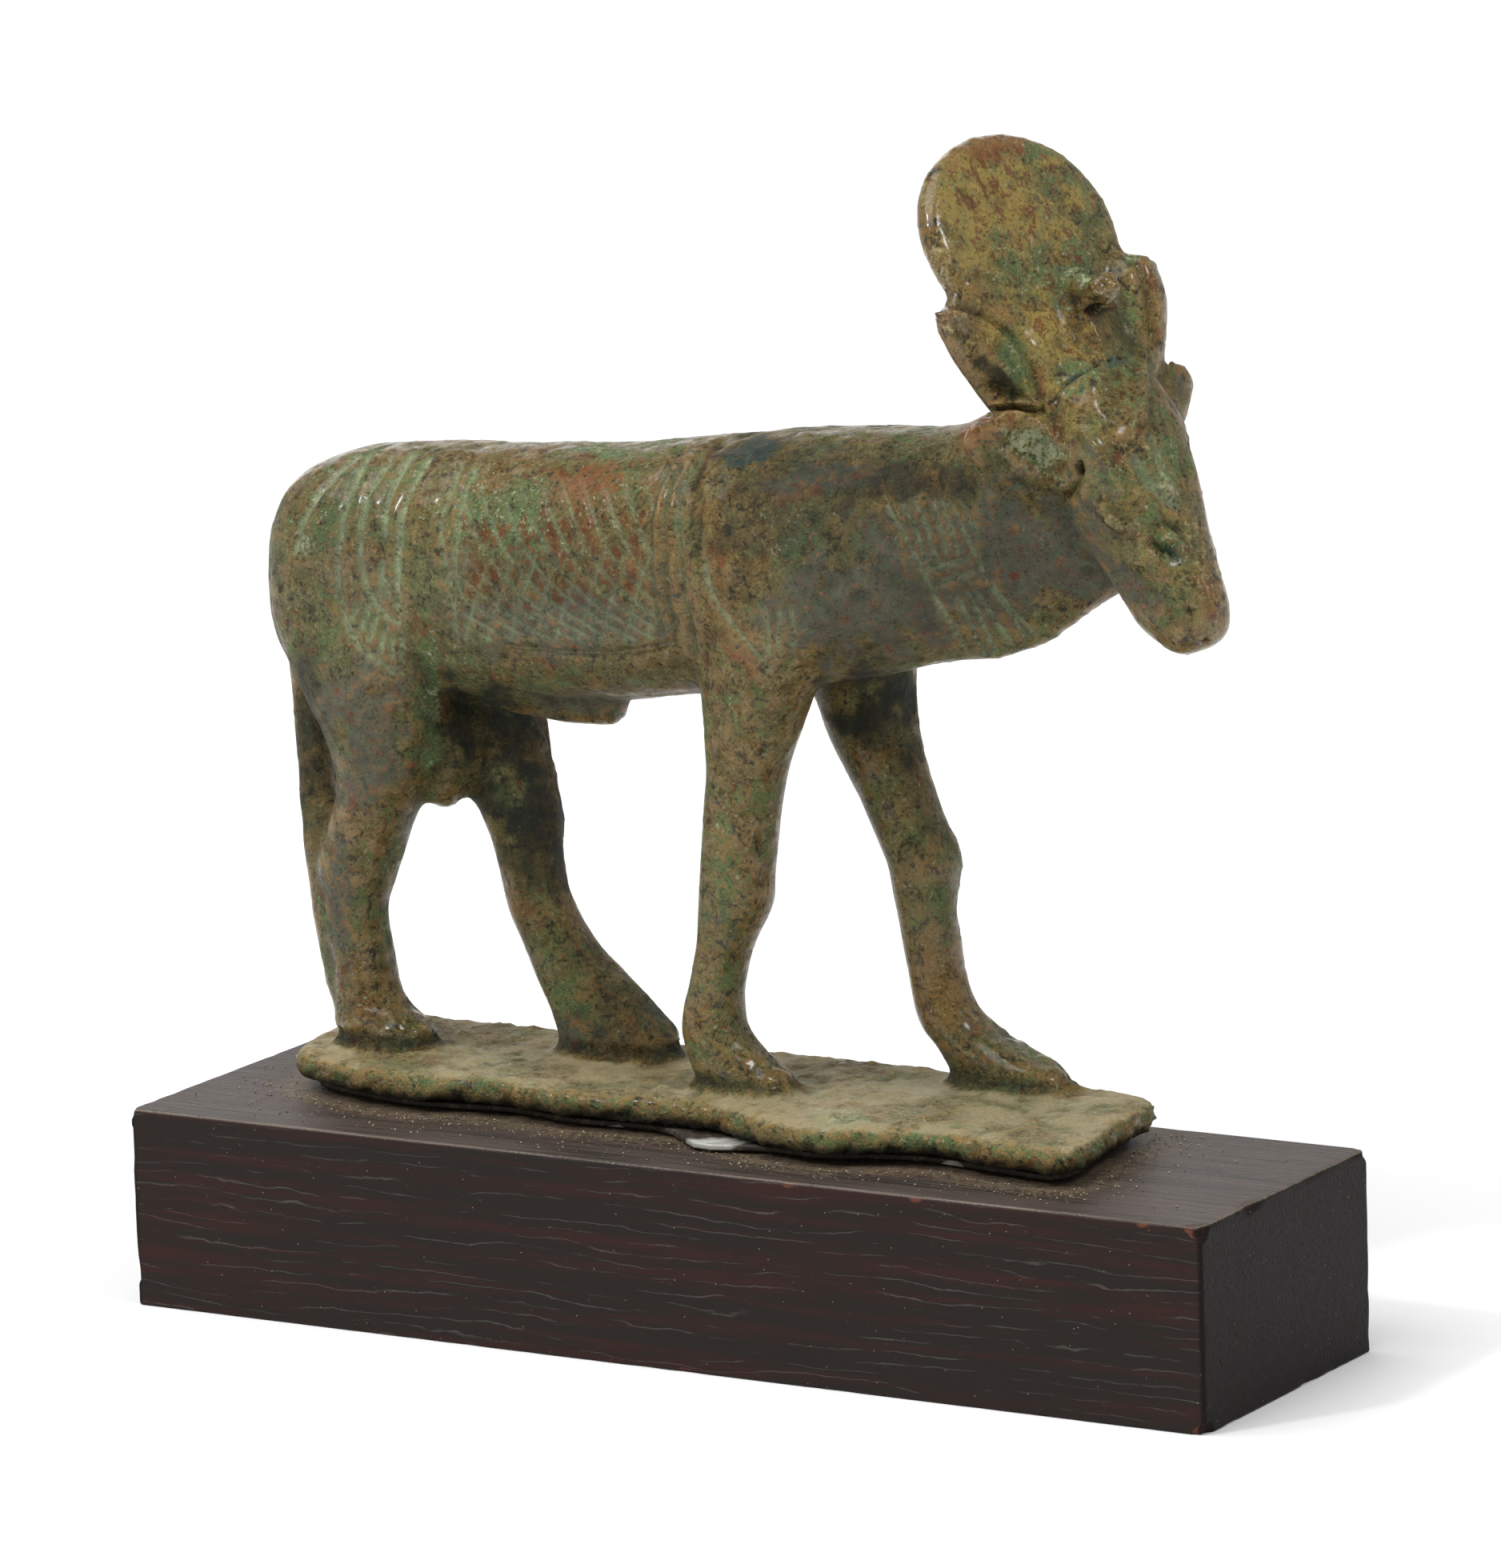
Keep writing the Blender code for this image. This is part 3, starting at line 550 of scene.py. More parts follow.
def numbers_of(items, key, width, kind=float):
    flat = np.empty(len(items) * width, dtype=kind)
    items.foreach_get(key, flat)
    return flat.reshape(-1, width)


def points_of(mesh):
    return numbers_of(mesh.vertices, "co", 3)


def normals_of(mesh):
    return numbers_of(mesh.vertex_normals, "vector", 3)


def edges_of(mesh):
    return numbers_of(mesh.edges, "vertices", 2, np.int64)


def move_to(mesh, points):
    mesh.vertices.foreach_set("co", points.ravel())
    mesh.update()


def keep_values(mesh, name, values):
    """Stores a number for each point, which materials read by name."""
    attribute = mesh.attributes.new(name, "FLOAT", "POINT")
    attribute.data.foreach_set("value", np.clip(values, 0, 1).astype(np.float32))


def smoothstep(low, high, values):
    share = np.clip((values - low) / (high - low), 0, 1)
    return share * share * (3 - 2 * share)


def neighbour_mean(values, edges):
    """The mean of each point's neighbours."""
    total = np.zeros_like(values)
    np.add.at(total, edges[:, 0], values[edges[:, 1]])
    np.add.at(total, edges[:, 1], values[edges[:, 0]])
    count = np.bincount(edges.ravel(), minlength=len(values)).astype(float)
    return total / count.reshape(-1, *[1] * (values.ndim - 1))


def smooth_points(points, edges, rounds):
    """Takes the facets out of a skin without shrinking it."""
    for _ in range(rounds):
        for factor in (SMOOTH_IN, SMOOTH_OUT):
            points = points + factor * (neighbour_mean(points, edges) - points)
    return points


def line_distance(pixels, line):
    """Pixels from each point to a line through the given pixels."""
    best = np.full(len(pixels), np.inf)
    for start, end in zip(line, line[1:]):
        start = np.array(start, float)
        run = np.array(end, float) - start
        along = np.clip(((pixels - start) @ run) / (run @ run), 0, 1)
        best = np.minimum(best, np.linalg.norm(pixels - start - along[:, None] * run, axis=1))
    return best


def strokes(pixels, lines, width):
    """1 on a stroke of this width along the lines, fading to 0 beside it."""
    best = np.full(len(pixels), np.inf)
    for line in lines:
        best = np.minimum(best, line_distance(pixels, line))
    return np.exp(-((best / (0.6 * width)) ** 2))


def lattice(pixels, fall_width, rise_width):
    """The crossing lines of the saddle cloth: both families, and where the cloth is."""
    across, down = pixels.T
    fall = down - CLOTH_ROW
    marks = []
    for (crossing, pitch, lean, bend), width in ((LATTICE_FALL, fall_width), (LATTICE_RISE, rise_width)):
        slope = np.hypot(1, lean + 3 * bend * fall * fall)
        phase = (across - crossing - lean * fall - bend * fall**3) / pitch
        away = np.abs(phase - np.round(phase)) * pitch / slope
        marks.append(np.exp(-((away / (0.6 * width)) ** 2)))
    inside = smoothstep(CLOTH_LEFT, CLOTH_LEFT + 8, across) * smoothstep(CLOTH_RIGHT, CLOTH_RIGHT - 8, across)
    inside *= smoothstep(CLOTH_TOP, CLOTH_TOP + 25, down) * smoothstep(CLOTH_BOTTOM, CLOTH_BOTTOM - 10, down)
    marks[1] *= smoothstep(RISE_STARTS, RISE_STARTS + 40, down)
    return marks[0] * inside, marks[1] * inside, inside


def oval(pixels, middle, half_sizes, tilt):
    """1 in the middle of a tilted oval, fading to 0 past its edge."""
    turn = math.radians(tilt)
    offset = pixels - np.array(middle, float)
    along = offset[:, 0] * math.cos(turn) + offset[:, 1] * math.sin(turn)
    across = -offset[:, 0] * math.sin(turn) + offset[:, 1] * math.cos(turn)
    reach = (along / half_sizes[0]) ** 2 + (across / half_sizes[1]) ** 2
    return np.exp(-(reach**2))


def head_frame():
    turn = Matrix.Rotation(HEAD_TURN, 4, "Z") @ Matrix.Rotation(HEAD_TIP, 4, "X")
    return Matrix.Translation(HEAD_PIVOT) @ turn


def transform(points, matrix):
    matrix = np.array(matrix)
    return points @ matrix[:3, :3].T + matrix[:3, 3]


def is_head(points):
    """Whether each point belongs to the head and its headdress."""
    local = transform(points, head_frame().inverted())
    ahead, height = local[:, 0], local[:, 2]
    rear = HEAD_REARMOST - REAR_SLOPE * (height - HEAD_LOWEST)
    upper = (height > HEADDRESS_LOWEST) & (ahead > rear - HEADDRESS_OVERHANG)
    lower = (height > HEAD_LOWEST) & (ahead > JAW_REARMOST - JAW_SLOPE * height)
    return upper | lower


def mirrors():
    """Mirrors through the middle of the trunk and of the head."""
    flip = Matrix.Scale(-1, 4, Vector((0, 1, 0)))
    shift = Matrix.Translation((0, MIDDLE_Y, 0))
    head = head_frame()
    return shift @ flip @ shift.inverted(), head @ flip @ head.inverted()


def seen_from(tree, points, normals, place):
    """How squarely each point faces a place, or 0 where something hides it."""
    toward = np.array(place) - points
    toward /= np.linalg.norm(toward, axis=1)[:, None]
    facing = np.einsum("ij,ij->i", toward, normals)
    starts = points + RAY_START * normals
    for i in np.flatnonzero(facing > 0):
        if tree.ray_cast(Vector(starts[i]), Vector(toward[i]))[0] is not None:
            facing[i] = 0
    return np.clip(facing, 0, 1)


def view_pixels(points, normals, tree):
    """Each point's pixel, on the near side or in the mirror, and how squarely it is seen."""
    trunk_mirror, head_mirror = mirrors()
    head = is_head(points)
    near = seen_from(tree, points, normals, CAMERA_PLACE)
    pixels = photo_pixels(points)
    facing = near.copy()
    for mirror, part, taken in (
        (trunk_mirror, ~head, points[:, 1] < MIDDLE_Y),
        (head_mirror, head, near > 0),
    ):
        far = seen_from(tree, points, normals, mirror @ CAMERA_PLACE)
        use = part & ~taken
        pixels[use] = photo_pixels(transform(points[use], mirror))
        facing[use] = far[use]
    return pixels, facing, head, near > 0


def fractal(points, size, octaves=4):
    """Smooth noise from about -1 to 1 with features of this size."""
    scaled = points / size
    return np.array([noise.fractal(Vector(p), 0.6, 2.0, octaves) for p in scaled])


def new_object(name, mesh, material):
    mesh.materials.clear()
    mesh.materials.append(material)
    mesh.shade_smooth()
    obj = bpy.data.objects.new(name, mesh)
    add_to_scene(obj)
    return obj


def voxel_skin(mesh, grid):
    """One even skin of quads around the mesh."""
    source = bpy.data.objects.new("skin_source", mesh)
    add_to_scene(source)
    remesh = source.modifiers.new("skin", "REMESH")
    remesh.mode = "VOXEL"
    remesh.voxel_size = grid
    graph = bpy.context.evaluated_depsgraph_get()
    skin = bpy.data.meshes.new_from_object(source.evaluated_get(graph))
    bpy.data.objects.remove(source)
    return skin


def refine(mesh, chosen):
    """Splits each edge whose two ends are chosen in two."""
    bm = bmesh.new()
    bm.from_mesh(mesh)
    bm.verts.ensure_lookup_table()
    edges = [edge for edge in bm.edges if chosen[edge.verts[0].index] and chosen[edge.verts[1].index]]
    bmesh.ops.subdivide_edges(bm, edges=edges, cuts=1, use_grid_fill=True)
    bm.to_mesh(mesh)
    bm.free()


def node_skin(node, grid):
    """The node's form as an even skin with the facets smoothed out."""
    bm = bmesh.new()
    bm.from_mesh(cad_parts[node].data)
    bmesh.ops.remove_doubles(bm, verts=bm.verts, dist=WELD)
    skin = voxel_skin(mesh_of(bm, node + "_source"), grid)
    move_to(skin, smooth_points(points_of(skin), edges_of(skin), SMOOTH_ROUNDS))
    return skin


def tree_of(mesh):
    return BVHTree.FromPolygons(points_of(mesh).tolist(), [p.vertices[:] for p in mesh.polygons])


def carved_near(pixels, head, reach, cells):
    """Whether each point lies within reach of a line, or of a form on the head."""
    trunk_lines = HAUNCH_LINES + CLOTH_BORDERS + CLOTH_HEMS + BAND_GROOVES + SHOULDER_LINES + COLLAR_LINES
    head_lines = FOREHEAD_LINES + CRACK_LINES + SEAM_LINES + EAR_GAPS + HEAD_RIDGES
    fall, rise, inside = lattice(pixels, reach, reach)
    on_trunk = np.maximum.reduce([strokes(pixels, trunk_lines, reach), fall, rise, cells * inside])
    on_head = strokes(pixels, head_lines, reach)
    for x, y, long, wide, tilt, _ in HEAD_FORMS:
        on_head = np.maximum(on_head, oval(pixels, (x, y), (long, wide), tilt))
    return np.where(head, on_head, on_trunk) > 0.3


def seam_of(pixels, edges):
    """1 where neighbouring points take their pixels from different sides, fading out around it."""
    apart = np.linalg.norm(pixels[edges[:, 0]] - pixels[edges[:, 1]], axis=1) > SEAM_PIXELS
    seam = np.zeros(len(pixels))
    seam[edges[apart].ravel()] = 1
    for _ in range(SEAM_ROUNDS):
        seam = np.maximum(seam, neighbour_mean(seam, edges))
    return seam


def engraving(pixels, points):
    """Depth in millimetres of the engraved lines on the trunk, and how much pale crust fills them."""
    worn = 0.5 + 0.5 * smoothstep(-0.3, 0.1, fractal(points + 3.0, 3.5 * MM, 2))
    fall, rise, inside = lattice(pixels, FALL_ENGRAVING[0], RISE_ENGRAVING[0])
    middle = np.array(HAUNCH_RING[:2], float)
    ring = np.abs(np.linalg.norm(pixels - middle, axis=1) - HAUNCH_RING[2])
    marks = [(strokes(pixels, lines, width), depth, fill) for lines, width, depth, fill in ENGRAVINGS]
    marks.append((fall * worn, *FALL_ENGRAVING[1:]))
    marks.append((rise * worn, *RISE_ENGRAVING[1:]))
    marks.append((np.exp(-((ring / RING_ENGRAVING[0]) ** 2)), *RING_ENGRAVING[1:]))
    depth = np.maximum.reduce([mark * depth for mark, depth, _ in marks])
    fill = np.maximum.reduce([mark * fill for mark, _, fill in marks])
    down = pixels[:, 1]
    cells = inside * (1 - np.maximum(fall, rise))
    cells *= smoothstep(CELLS_TOP - 20, CELLS_TOP, down) * smoothstep(CELLS_BOTTOM + 40, CELLS_BOTTOM, down)
    return depth, fill, cells


def relief(pixels, table):
    """Rise in millimetres of the ridges and hollows in a table."""
    return sum(rise * strokes(pixels, lines, width) for lines, width, rise in table)


def refined_skin():
    """The casting's skin with a closer grid at the engraving, and the tree of its plain form."""
    mesh = node_skin("apis_bull", SKIN_GRID)
    tree = tree_of(mesh)
    for reach, cells in ((COARSE_REACH, 1.0), (FINE_REACH, 0.0)):
        points = points_of(mesh)
        pixels, facing, head, _ = view_pixels(points, normals_of(mesh), tree)
        chosen = (facing > 0.05) & carved_near(pixels, head, reach, cells)
        if reach == FINE_REACH:
            chosen &= (points[:, 1] < MIDDLE_Y) | head
        refine(mesh, chosen)
    return mesh, tree


def keep_stains(mesh, points, pixels, rim, under, foot):
    """Stores the stains, with ragged edges, and those that the plinth has all round: patina on its rim,
    painted shade under it and in the groove at the feet.
    """
    warp = np.stack([fractal(points + 11.0, 3.0 * MM), fractal(points + 13.0, 3.0 * MM)], axis=1)
    for name, stains in STAINS.items():
        marks = []
        for x, y, long, wide, tilt, strength in stains:
            ragged = pixels + STAIN_RAGGED * min(long, wide) * warp
            marks.append(strength * oval(ragged, (x, y), (long, wide), tilt))
        if name == "verdigris":
            marks.append(0.5 * rim * (1 - under))
        # Painted shade under the plinth and in the groove at the feet
        if name in ("painted_shade", "dark_stain_and_shade"):
            marks.append(np.maximum(0.8 * under, 0.5 * foot))
        keep_values(mesh, name, np.maximum.reduce(marks))


def build_bull():
    mesh, tree = refined_skin()
    normals = normals_of(mesh)
    edges = edges_of(mesh)
    points = smooth_points(points_of(mesh), edges, 3)
    pixels, facing, head, seen = view_pixels(points, normals, tree)
    weight = smoothstep(0.02, 0.2, facing)
    for _ in range(WEIGHT_ROUNDS):
        weight = np.minimum(weight, neighbour_mean(weight, edges))
    weight *= 1 - seam_of(pixels, edges)
    trunk = weight * ~head
    on_head = weight * head * np.where(seen, 1.0, MIRRORED_RELIEF)

    depth, fill, cells = engraving(pixels, points)
    broken = smoothstep(-0.35, 0.25, fractal(points + 9.0, 1.2 * MM, 2))
    crack = strokes(pixels, CRACK_LINES, CRACK_WIDTH) * broken
    rise = trunk * (relief(pixels, TRUNK_RELIEF) - depth)
    rise += on_head * (relief(pixels, HEAD_RELIEF) - CRACK_DEPTH * crack)
    for x, y, long, wide, tilt, form_rise in HEAD_FORMS:
        rise += on_head * form_rise * oval(pixels, (x, y), (long, wide), tilt)

    lumps = fractal(points + 5.0, LUMP_SIZE, 2)
    wear = fractal(points, WEAR_SIZE)
    crust = fractal(points + 1.0, CRUST_SIZE, 3)
    pitted = smoothstep(0.25, 0.6, fractal(points - 1.0, PIT_SIZE, 3))
    rise += np.where(head, HEAD_LUMPS, 1.0) * (LUMP_RISE * lumps + WEAR_RISE * wear)
    rise += CRUST_RISE * crust - PIT_DEPTH * pitted
    height = points[:, 2]
    hooves = smoothstep(PLINTH_TOP + 7 * MM, PLINTH_TOP + 2 * MM, height)
    rim = smoothstep(PLINTH_TOP, PLINTH_TOP - 0.5 * MM, height)
    under = smoothstep(PLINTH_TOP - 1.0 * MM, PLINTH_TOP - 2.3 * MM, height)
    upright = smoothstep(0.75, 0.4, np.abs(normals[:, 2]))
    foot = smoothstep(1.5 * MM, 0.7 * MM, np.abs(height - PLINTH_TOP - 0.6 * MM)) * upright * (1 - rim)
    rise += HOOF_CRUST * hooves * crust - FOOT_DEPTH * foot
    rise += rim * (RIM_RISE * fractal(points - 4.0, RIM_SIZE) + RIM_CRUST * crust)
    calm = rise
    for _ in range(3):
        calm = neighbour_mean(calm, edges)
    rise = np.where(seen & (facing > 0.15), rise, calm)
    points = points + rise[:, None] * MM * normals
    move_to(mesh, points)

    bulge = np.einsum("ij,ij->i", points - neighbour_mean(points, edges), normals) / MM
    for _ in range(3):
        bulge = 0.5 * (bulge + neighbour_mean(bulge, edges))
    forehead = strokes(pixels, FOREHEAD_LINES, FOREHEAD_WIDTH)
    flat = smoothstep(PLINTH_TOP + 1.5 * MM, PLINTH_TOP + 0.7 * MM, points[:, 2])
    uneven = 0.6 + 0.4 * smoothstep(-0.35, 0.25, fractal(points + 17.0, 5.0 * MM))
    keep_values(mesh, "groove", np.maximum(fill * trunk, 0.9 * on_head * forehead))
    keep_values(mesh, "cells", cells * trunk)
    keep_values(mesh, "dust", flat * uneven * smoothstep(0.5, 0.9, normals[:, 2]))
    keep_values(mesh, "cavity", smoothstep(0.0, 0.03, -bulge))
    keep_values(mesh, "edge", smoothstep(0.004, 0.03, bulge))
    keep_values(mesh, "crack", on_head * crack)
    keep_stains(mesh, points, pixels, rim, under, foot)

    bull = new_object("bull_casting", mesh, bronze_finish())
    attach(bull, "root")
    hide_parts("apis_bull")
    return bull


def plinth_distance(points, tree):
    """How far each point is from the casting, up to a limit."""
    return np.array([tree.find_nearest(Vector(p), FARTHEST)[3] or FARTHEST for p in points])


def stations(low, high):
    """Places along an axis, close together near both ends."""
    border = np.arange(0, BLOCK_BORDER, BLOCK_FINE)
    count = int((high - low - 2 * BLOCK_BORDER) / BLOCK_COARSE) + 1
    middle = np.linspace(low + BLOCK_BORDER, high - BLOCK_BORDER, count)
    return np.concatenate([low + border, middle, (high - border)[::-1]])


def rounded_box(low, high):
    """A closed box with round edges and a close grid beside them."""
    bm = bmesh.new()
    for axis in range(3):
        first, second = (axis + 1) % 3, (axis + 2) % 3
        along, across = (stations(low[k], high[k]) for k in (first, second))
        for level in (low[axis], high[axis]):
            grid = []
            for u in along:
                row = []
                for v in across:
                    corner = [0.0, 0.0, 0.0]
                    corner[axis], corner[first], corner[second] = level, u, v
                    row.append(bm.verts.new(corner))
                grid.append(row)
            for here, there in zip(grid, grid[1:]):
                for k in range(len(across) - 1):
                    bm.faces.new((here[k], there[k], there[k + 1], here[k + 1]))
    bmesh.ops.remove_doubles(bm, verts=bm.verts, dist=0.001 * MM)
    bmesh.ops.recalc_face_normals(bm, faces=bm.faces)
    mesh = mesh_of(bm, "wooden_block")
    points = points_of(mesh)
    core = np.clip(points, low + BLOCK_ROUND, high - BLOCK_ROUND)
    outward = (points - core) / np.linalg.norm(points - core, axis=1)[:, None]
    move_to(mesh, core + BLOCK_ROUND * outward)
    return mesh


def build_block(casting):
    """The wooden block with softened, chipped edges and dust round the plinth."""
    low, high = (np.array(corner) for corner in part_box("wood_base"))
    mesh = rounded_box(low, high)
    points = points_of(mesh)
    to_faces = np.sort(np.minimum(points - low, high - points), axis=1)
    at_edge = np.exp(-((to_faces[:, 1] / EDGE_REACH) ** 2))
    rough = fractal(points * (0.35, 1.0, 1.0), 2.6 * MM)
    inward = (low + high) / 2 - points
    inward /= np.linalg.norm(inward, axis=1)[:, None]
    dent = EDGE_WEAR * at_edge * smoothstep(0.05, 0.5, rough)
    chipped = 0.0
    for shares, reach, depth in CHIPS:
        place = low + np.array(shares) * (high - low)
        near = np.linalg.norm(points - place, axis=1) / (reach * MM)
        mark = smoothstep(1.0, 0.35, near + 0.3 * rough)
        dent = np.maximum(dent, depth * mark)
        chipped = np.maximum(chipped, mark)
    move_to(mesh, points + dent[:, None] * MM * inward)

    top = smoothstep(BLOCK_TOP - 0.3 * MM, BLOCK_TOP, points[:, 2])
    gap = plinth_distance(points, tree_of(casting.data))
    dusty = top * np.exp(-((np.maximum(gap - 1.5 * MM, 0) / (2.2 * MM)) ** 2))
    worn = np.maximum(chipped, at_edge * smoothstep(0.45, 0.85, rough))
    keep_values(mesh, "worn", worn)
    keep_values(mesh, "edge", at_edge)
    keep_values(mesh, "dust", dusty)
    # Top face, which its material paints lighter as sheen
    keep_values(mesh, "top", top)
    # Ends of the block, which its material paints darker as shade
    to_ends = np.minimum(points - low, high - points)[:, 0]
    keep_values(mesh, "end", smoothstep(0.6 * MM, 0.2 * MM, to_ends))
    block = new_object("wooden_block", mesh, wood_finish())
    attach(block, "root")
    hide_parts("wood_base")


def build_adhesive():
    """The thin bed, dark with the painted shadow of the gap under the plinth and with dust, but for the milky
    lobes in front of the plinth.
    """
    bm = bmesh.new()
    bm.from_mesh(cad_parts["adhesive_bed"].data)
    bmesh.ops.remove_doubles(bm, verts=bm.verts, dist=WELD)
    bmesh.ops.subdivide_edges(bm, edges=bm.edges, cuts=2, use_grid_fill=True)
    mesh = mesh_of(bm, "adhesive_layer")
    points = points_of(mesh)
    milky = [oval(photo_pixels(points), *lobe) for lobe in GLUE_LOBES]
    keep_values(mesh, "milky", np.maximum.reduce(milky))
    layer = new_object("adhesive_layer", mesh, adhesive_finish())
    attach(layer, "root")
    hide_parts("adhesive_bed")


def build_crumbs(casting):
    """Crumbs of dust and corrosion lying on the block round the plinth."""
    rng = np.random.default_rng(SEED)
    tree = tree_of(casting.data)
    low, high = (np.array(corner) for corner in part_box("wood_base"))
    bm = bmesh.new()
    made = 0
    while made < CRUMBS:
        x, y = rng.uniform(low[:2] + 2 * MM, high[:2] - 2 * MM)
        size = rng.uniform(*CRUMB_SIZES)
        turn = rng.uniform(0, math.pi)
        place = Vector((x, y, BLOCK_TOP + 0.6 * size))
        gap = plinth_distance([place], tree)[0]
        beyond = gap - CRUMB_CLEARANCE
        if beyond < 0 or rng.random() > math.exp(-beyond / (0.5 * CRUMB_REACH)):
            continue
        stretch = Matrix.Diagonal((1.0, rng.uniform(0.5, 1.0), rng.uniform(0.5, 0.8), 1.0))
        matrix = Matrix.Translation(place) @ Matrix.Rotation(turn, 4, "Z") @ stretch
        bmesh.ops.create_icosphere(bm, subdivisions=1, radius=size, matrix=matrix)
        made += 1
    crumbs = new_object("dust_crumbs", mesh_of(bm, "dust_crumbs"), crumb_finish())
    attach(crumbs, "root")


def colour(code):
    """A linear colour from the six figures of a screen colour."""
    parts = [int(code[i : i + 2], 16) / 255 for i in (0, 2, 4)]
    return (*[c / 12.92 if c <= 0.04045 else ((c + 0.055) / 1.055) ** 2.4 for c in parts], 1.0)


class Finish:
    """A material built from short calls, on the object's own coordinates."""

    def __init__(self, name):
        self.material = bpy.data.materials.new(name)
        self.material.use_nodes = True
        self.tree = self.material.node_tree
        self.shader = self.tree.nodes["Principled BSDF"]
        self.place = self.node("ShaderNodeTexCoord").outputs["Object"]
        self.values = {}

    def feed(self, socket, source):
        if isinstance(source, bpy.types.NodeSocket):
            self.tree.links.new(source, socket)
        else:
            socket.default_value = source

    def set(self, name, source):
        """Links a value to the shader's socket, or writes a number there."""
        self.feed(self.shader.inputs[name], source)

    def node(self, kind, inputs=(), **settings):
        node = self.tree.nodes.new(kind)
        for name, value in settings.items():
            setattr(node, name, value)
        for key, source in dict(inputs).items():
            self.feed(node.inputs[key], source)
        return node

    def stored(self, name):
        return self.node("ShaderNodeAttribute", attribute_name=name).outputs["Fac"]

    def stretched(self, shares):
        """The coordinates made longer along an axis by a share under 1."""
        inputs = {"Vector": self.place, "Scale": shares}
        return self.node("ShaderNodeMapping", inputs).outputs["Vector"]

    def noise(self, size, detail=3.0, roughness=0.55, place=None, distortion=0.0):
        """Cloudy values from 0 to 1 with features of this size."""
        inputs = {
            "Vector": place or self.place,
            "Scale": 1 / size,
            "Detail": detail,
            "Roughness": roughness,
            "Distortion": distortion,
        }
        return self.node("ShaderNodeTexNoise", inputs).outputs["Fac"]

    def cells(self, size, place=None):
        """Distance to the nearest of scattered points, in their own spacing."""
        inputs = {"Vector": place or self.place, "Scale": 1 / size}
        return self.node("ShaderNodeTexVoronoi", inputs).outputs["Distance"]

    def math(self, operation, first, second=0.0):
        return self.node("ShaderNodeMath", {0: first, 1: second}, operation=operation).outputs[0]

    def total(self, *weighted):
        """The sum of values, each with its weight."""
        result = 0.0
        for source, weight in weighted:
            terms = {0: source, 1: weight, 2: result}
            result = self.node("ShaderNodeMath", terms, operation="MULTIPLY_ADD").outputs[0]
        return result

    def step(self, source, low, high, top=1.0):
        """0 below low, up to top above high."""
        inputs = {"Value": source, "From Min": low, "From Max": high, "To Min": 0.0, "To Max": top}
        return self.node("ShaderNodeMapRange", inputs, interpolation_type="SMOOTHSTEP").outputs["Result"]

    def add_clouds(self, table):
        """Keeps a noise under each name of the table."""
        for name, (size, detail, roughness, distortion, *stretch) in table.items():
            place = self.stretched(*stretch) if stretch else self.place
            self.values[name] = self.noise(size * MM, detail, roughness, place, distortion)

    def sum_of(self, weights):
        """The sum of values kept here, or else stored on the mesh, each with its weight."""
        terms = []
        for name, weight in weights.items():
            source = self.values[name] if name in self.values else self.stored(name)
            terms.append((source, weight))
        return self.total(*terms)

    def lay(self, tone, layers):
        """The tone with the layers laid over it. Each layer's share is kept under its name."""
        for name, over, weights, limits, strength, *mask in layers:
            share = self.sum_of(weights)
            if limits:
                share = self.step(share, *limits, strength)
            else:
                share = self.math("MULTIPLY", share, strength)
            if mask:
                share = self.math("MULTIPLY", self.stored(*mask), share)
            self.values[name] = share
            tone = self.blend(share, tone, over)
        return tone

    def blend(self, share, under, over):
        """The colour over laid on the colour under."""
        node = self.node("ShaderNodeMix", data_type="RGBA")
        for socket, source in ((node.inputs[0], share), (node.inputs[6], under), (node.inputs[7], over)):
            self.feed(socket, colour(source) if isinstance(source, str) else source)
        return node.outputs[2]

    def mean(self, share, under, over):
        """A number between two others."""
        node = self.node("ShaderNodeMix", data_type="FLOAT")
        for socket, source in zip(node.inputs[:1] + node.inputs[2:4], (share, under, over)):
            self.feed(socket, source)
        return node.outputs[0]

    def bump(self, height, depth):
        inputs = {"Height": height, "Distance": depth, "Strength": 1.0}
        normal = self.node("ShaderNodeBump", inputs).outputs["Normal"]
        self.set("Normal", normal)


def bronze_finish():
    """Brown bronze under layers of green, grey, red and pale corrosion, with painted shade and painted
    glints.
    """
    f = Finish("corroded_bronze")
    f.add_clouds(BRONZE_CLOUDS)
    f.values["crumb"] = f.cells(0.5 * MM)
    slate = f.lay(SLATE_GREY, SLATE_LAYERS)
    tone = f.lay(GOLD_BROWN, GROUND_LAYERS)
    tone = f.lay(tone, [("slate_crust", slate, *SLATE_PLACES)])
    f.set("Base Color", f.lay(tone, CRUST_LAYERS))

    shine = f.sum_of(SHINE)
    f.set("Roughness", f.mean(f.step(shine, -0.1, 0.9), *BRONZE_ROUGHNESS))
    f.set("Metallic", f.step(shine, 0.2, 1.0, 0.5))
    f.set("Coat Weight", f.step(shine, 0.1, 0.8, 0.7))
    f.set("Coat Roughness", 0.18)
    f.set("Specular IOR Level", 0.3)
    roughest = f.total((f.stored("dust"), -0.55), (f.stored("glaze"), 0.6), (1.0, 1.0))
    f.bump(f.math("MULTIPLY", f.sum_of(BRONZE_HEIGHT), roughest), BRONZE_BUMP)
    return f.material


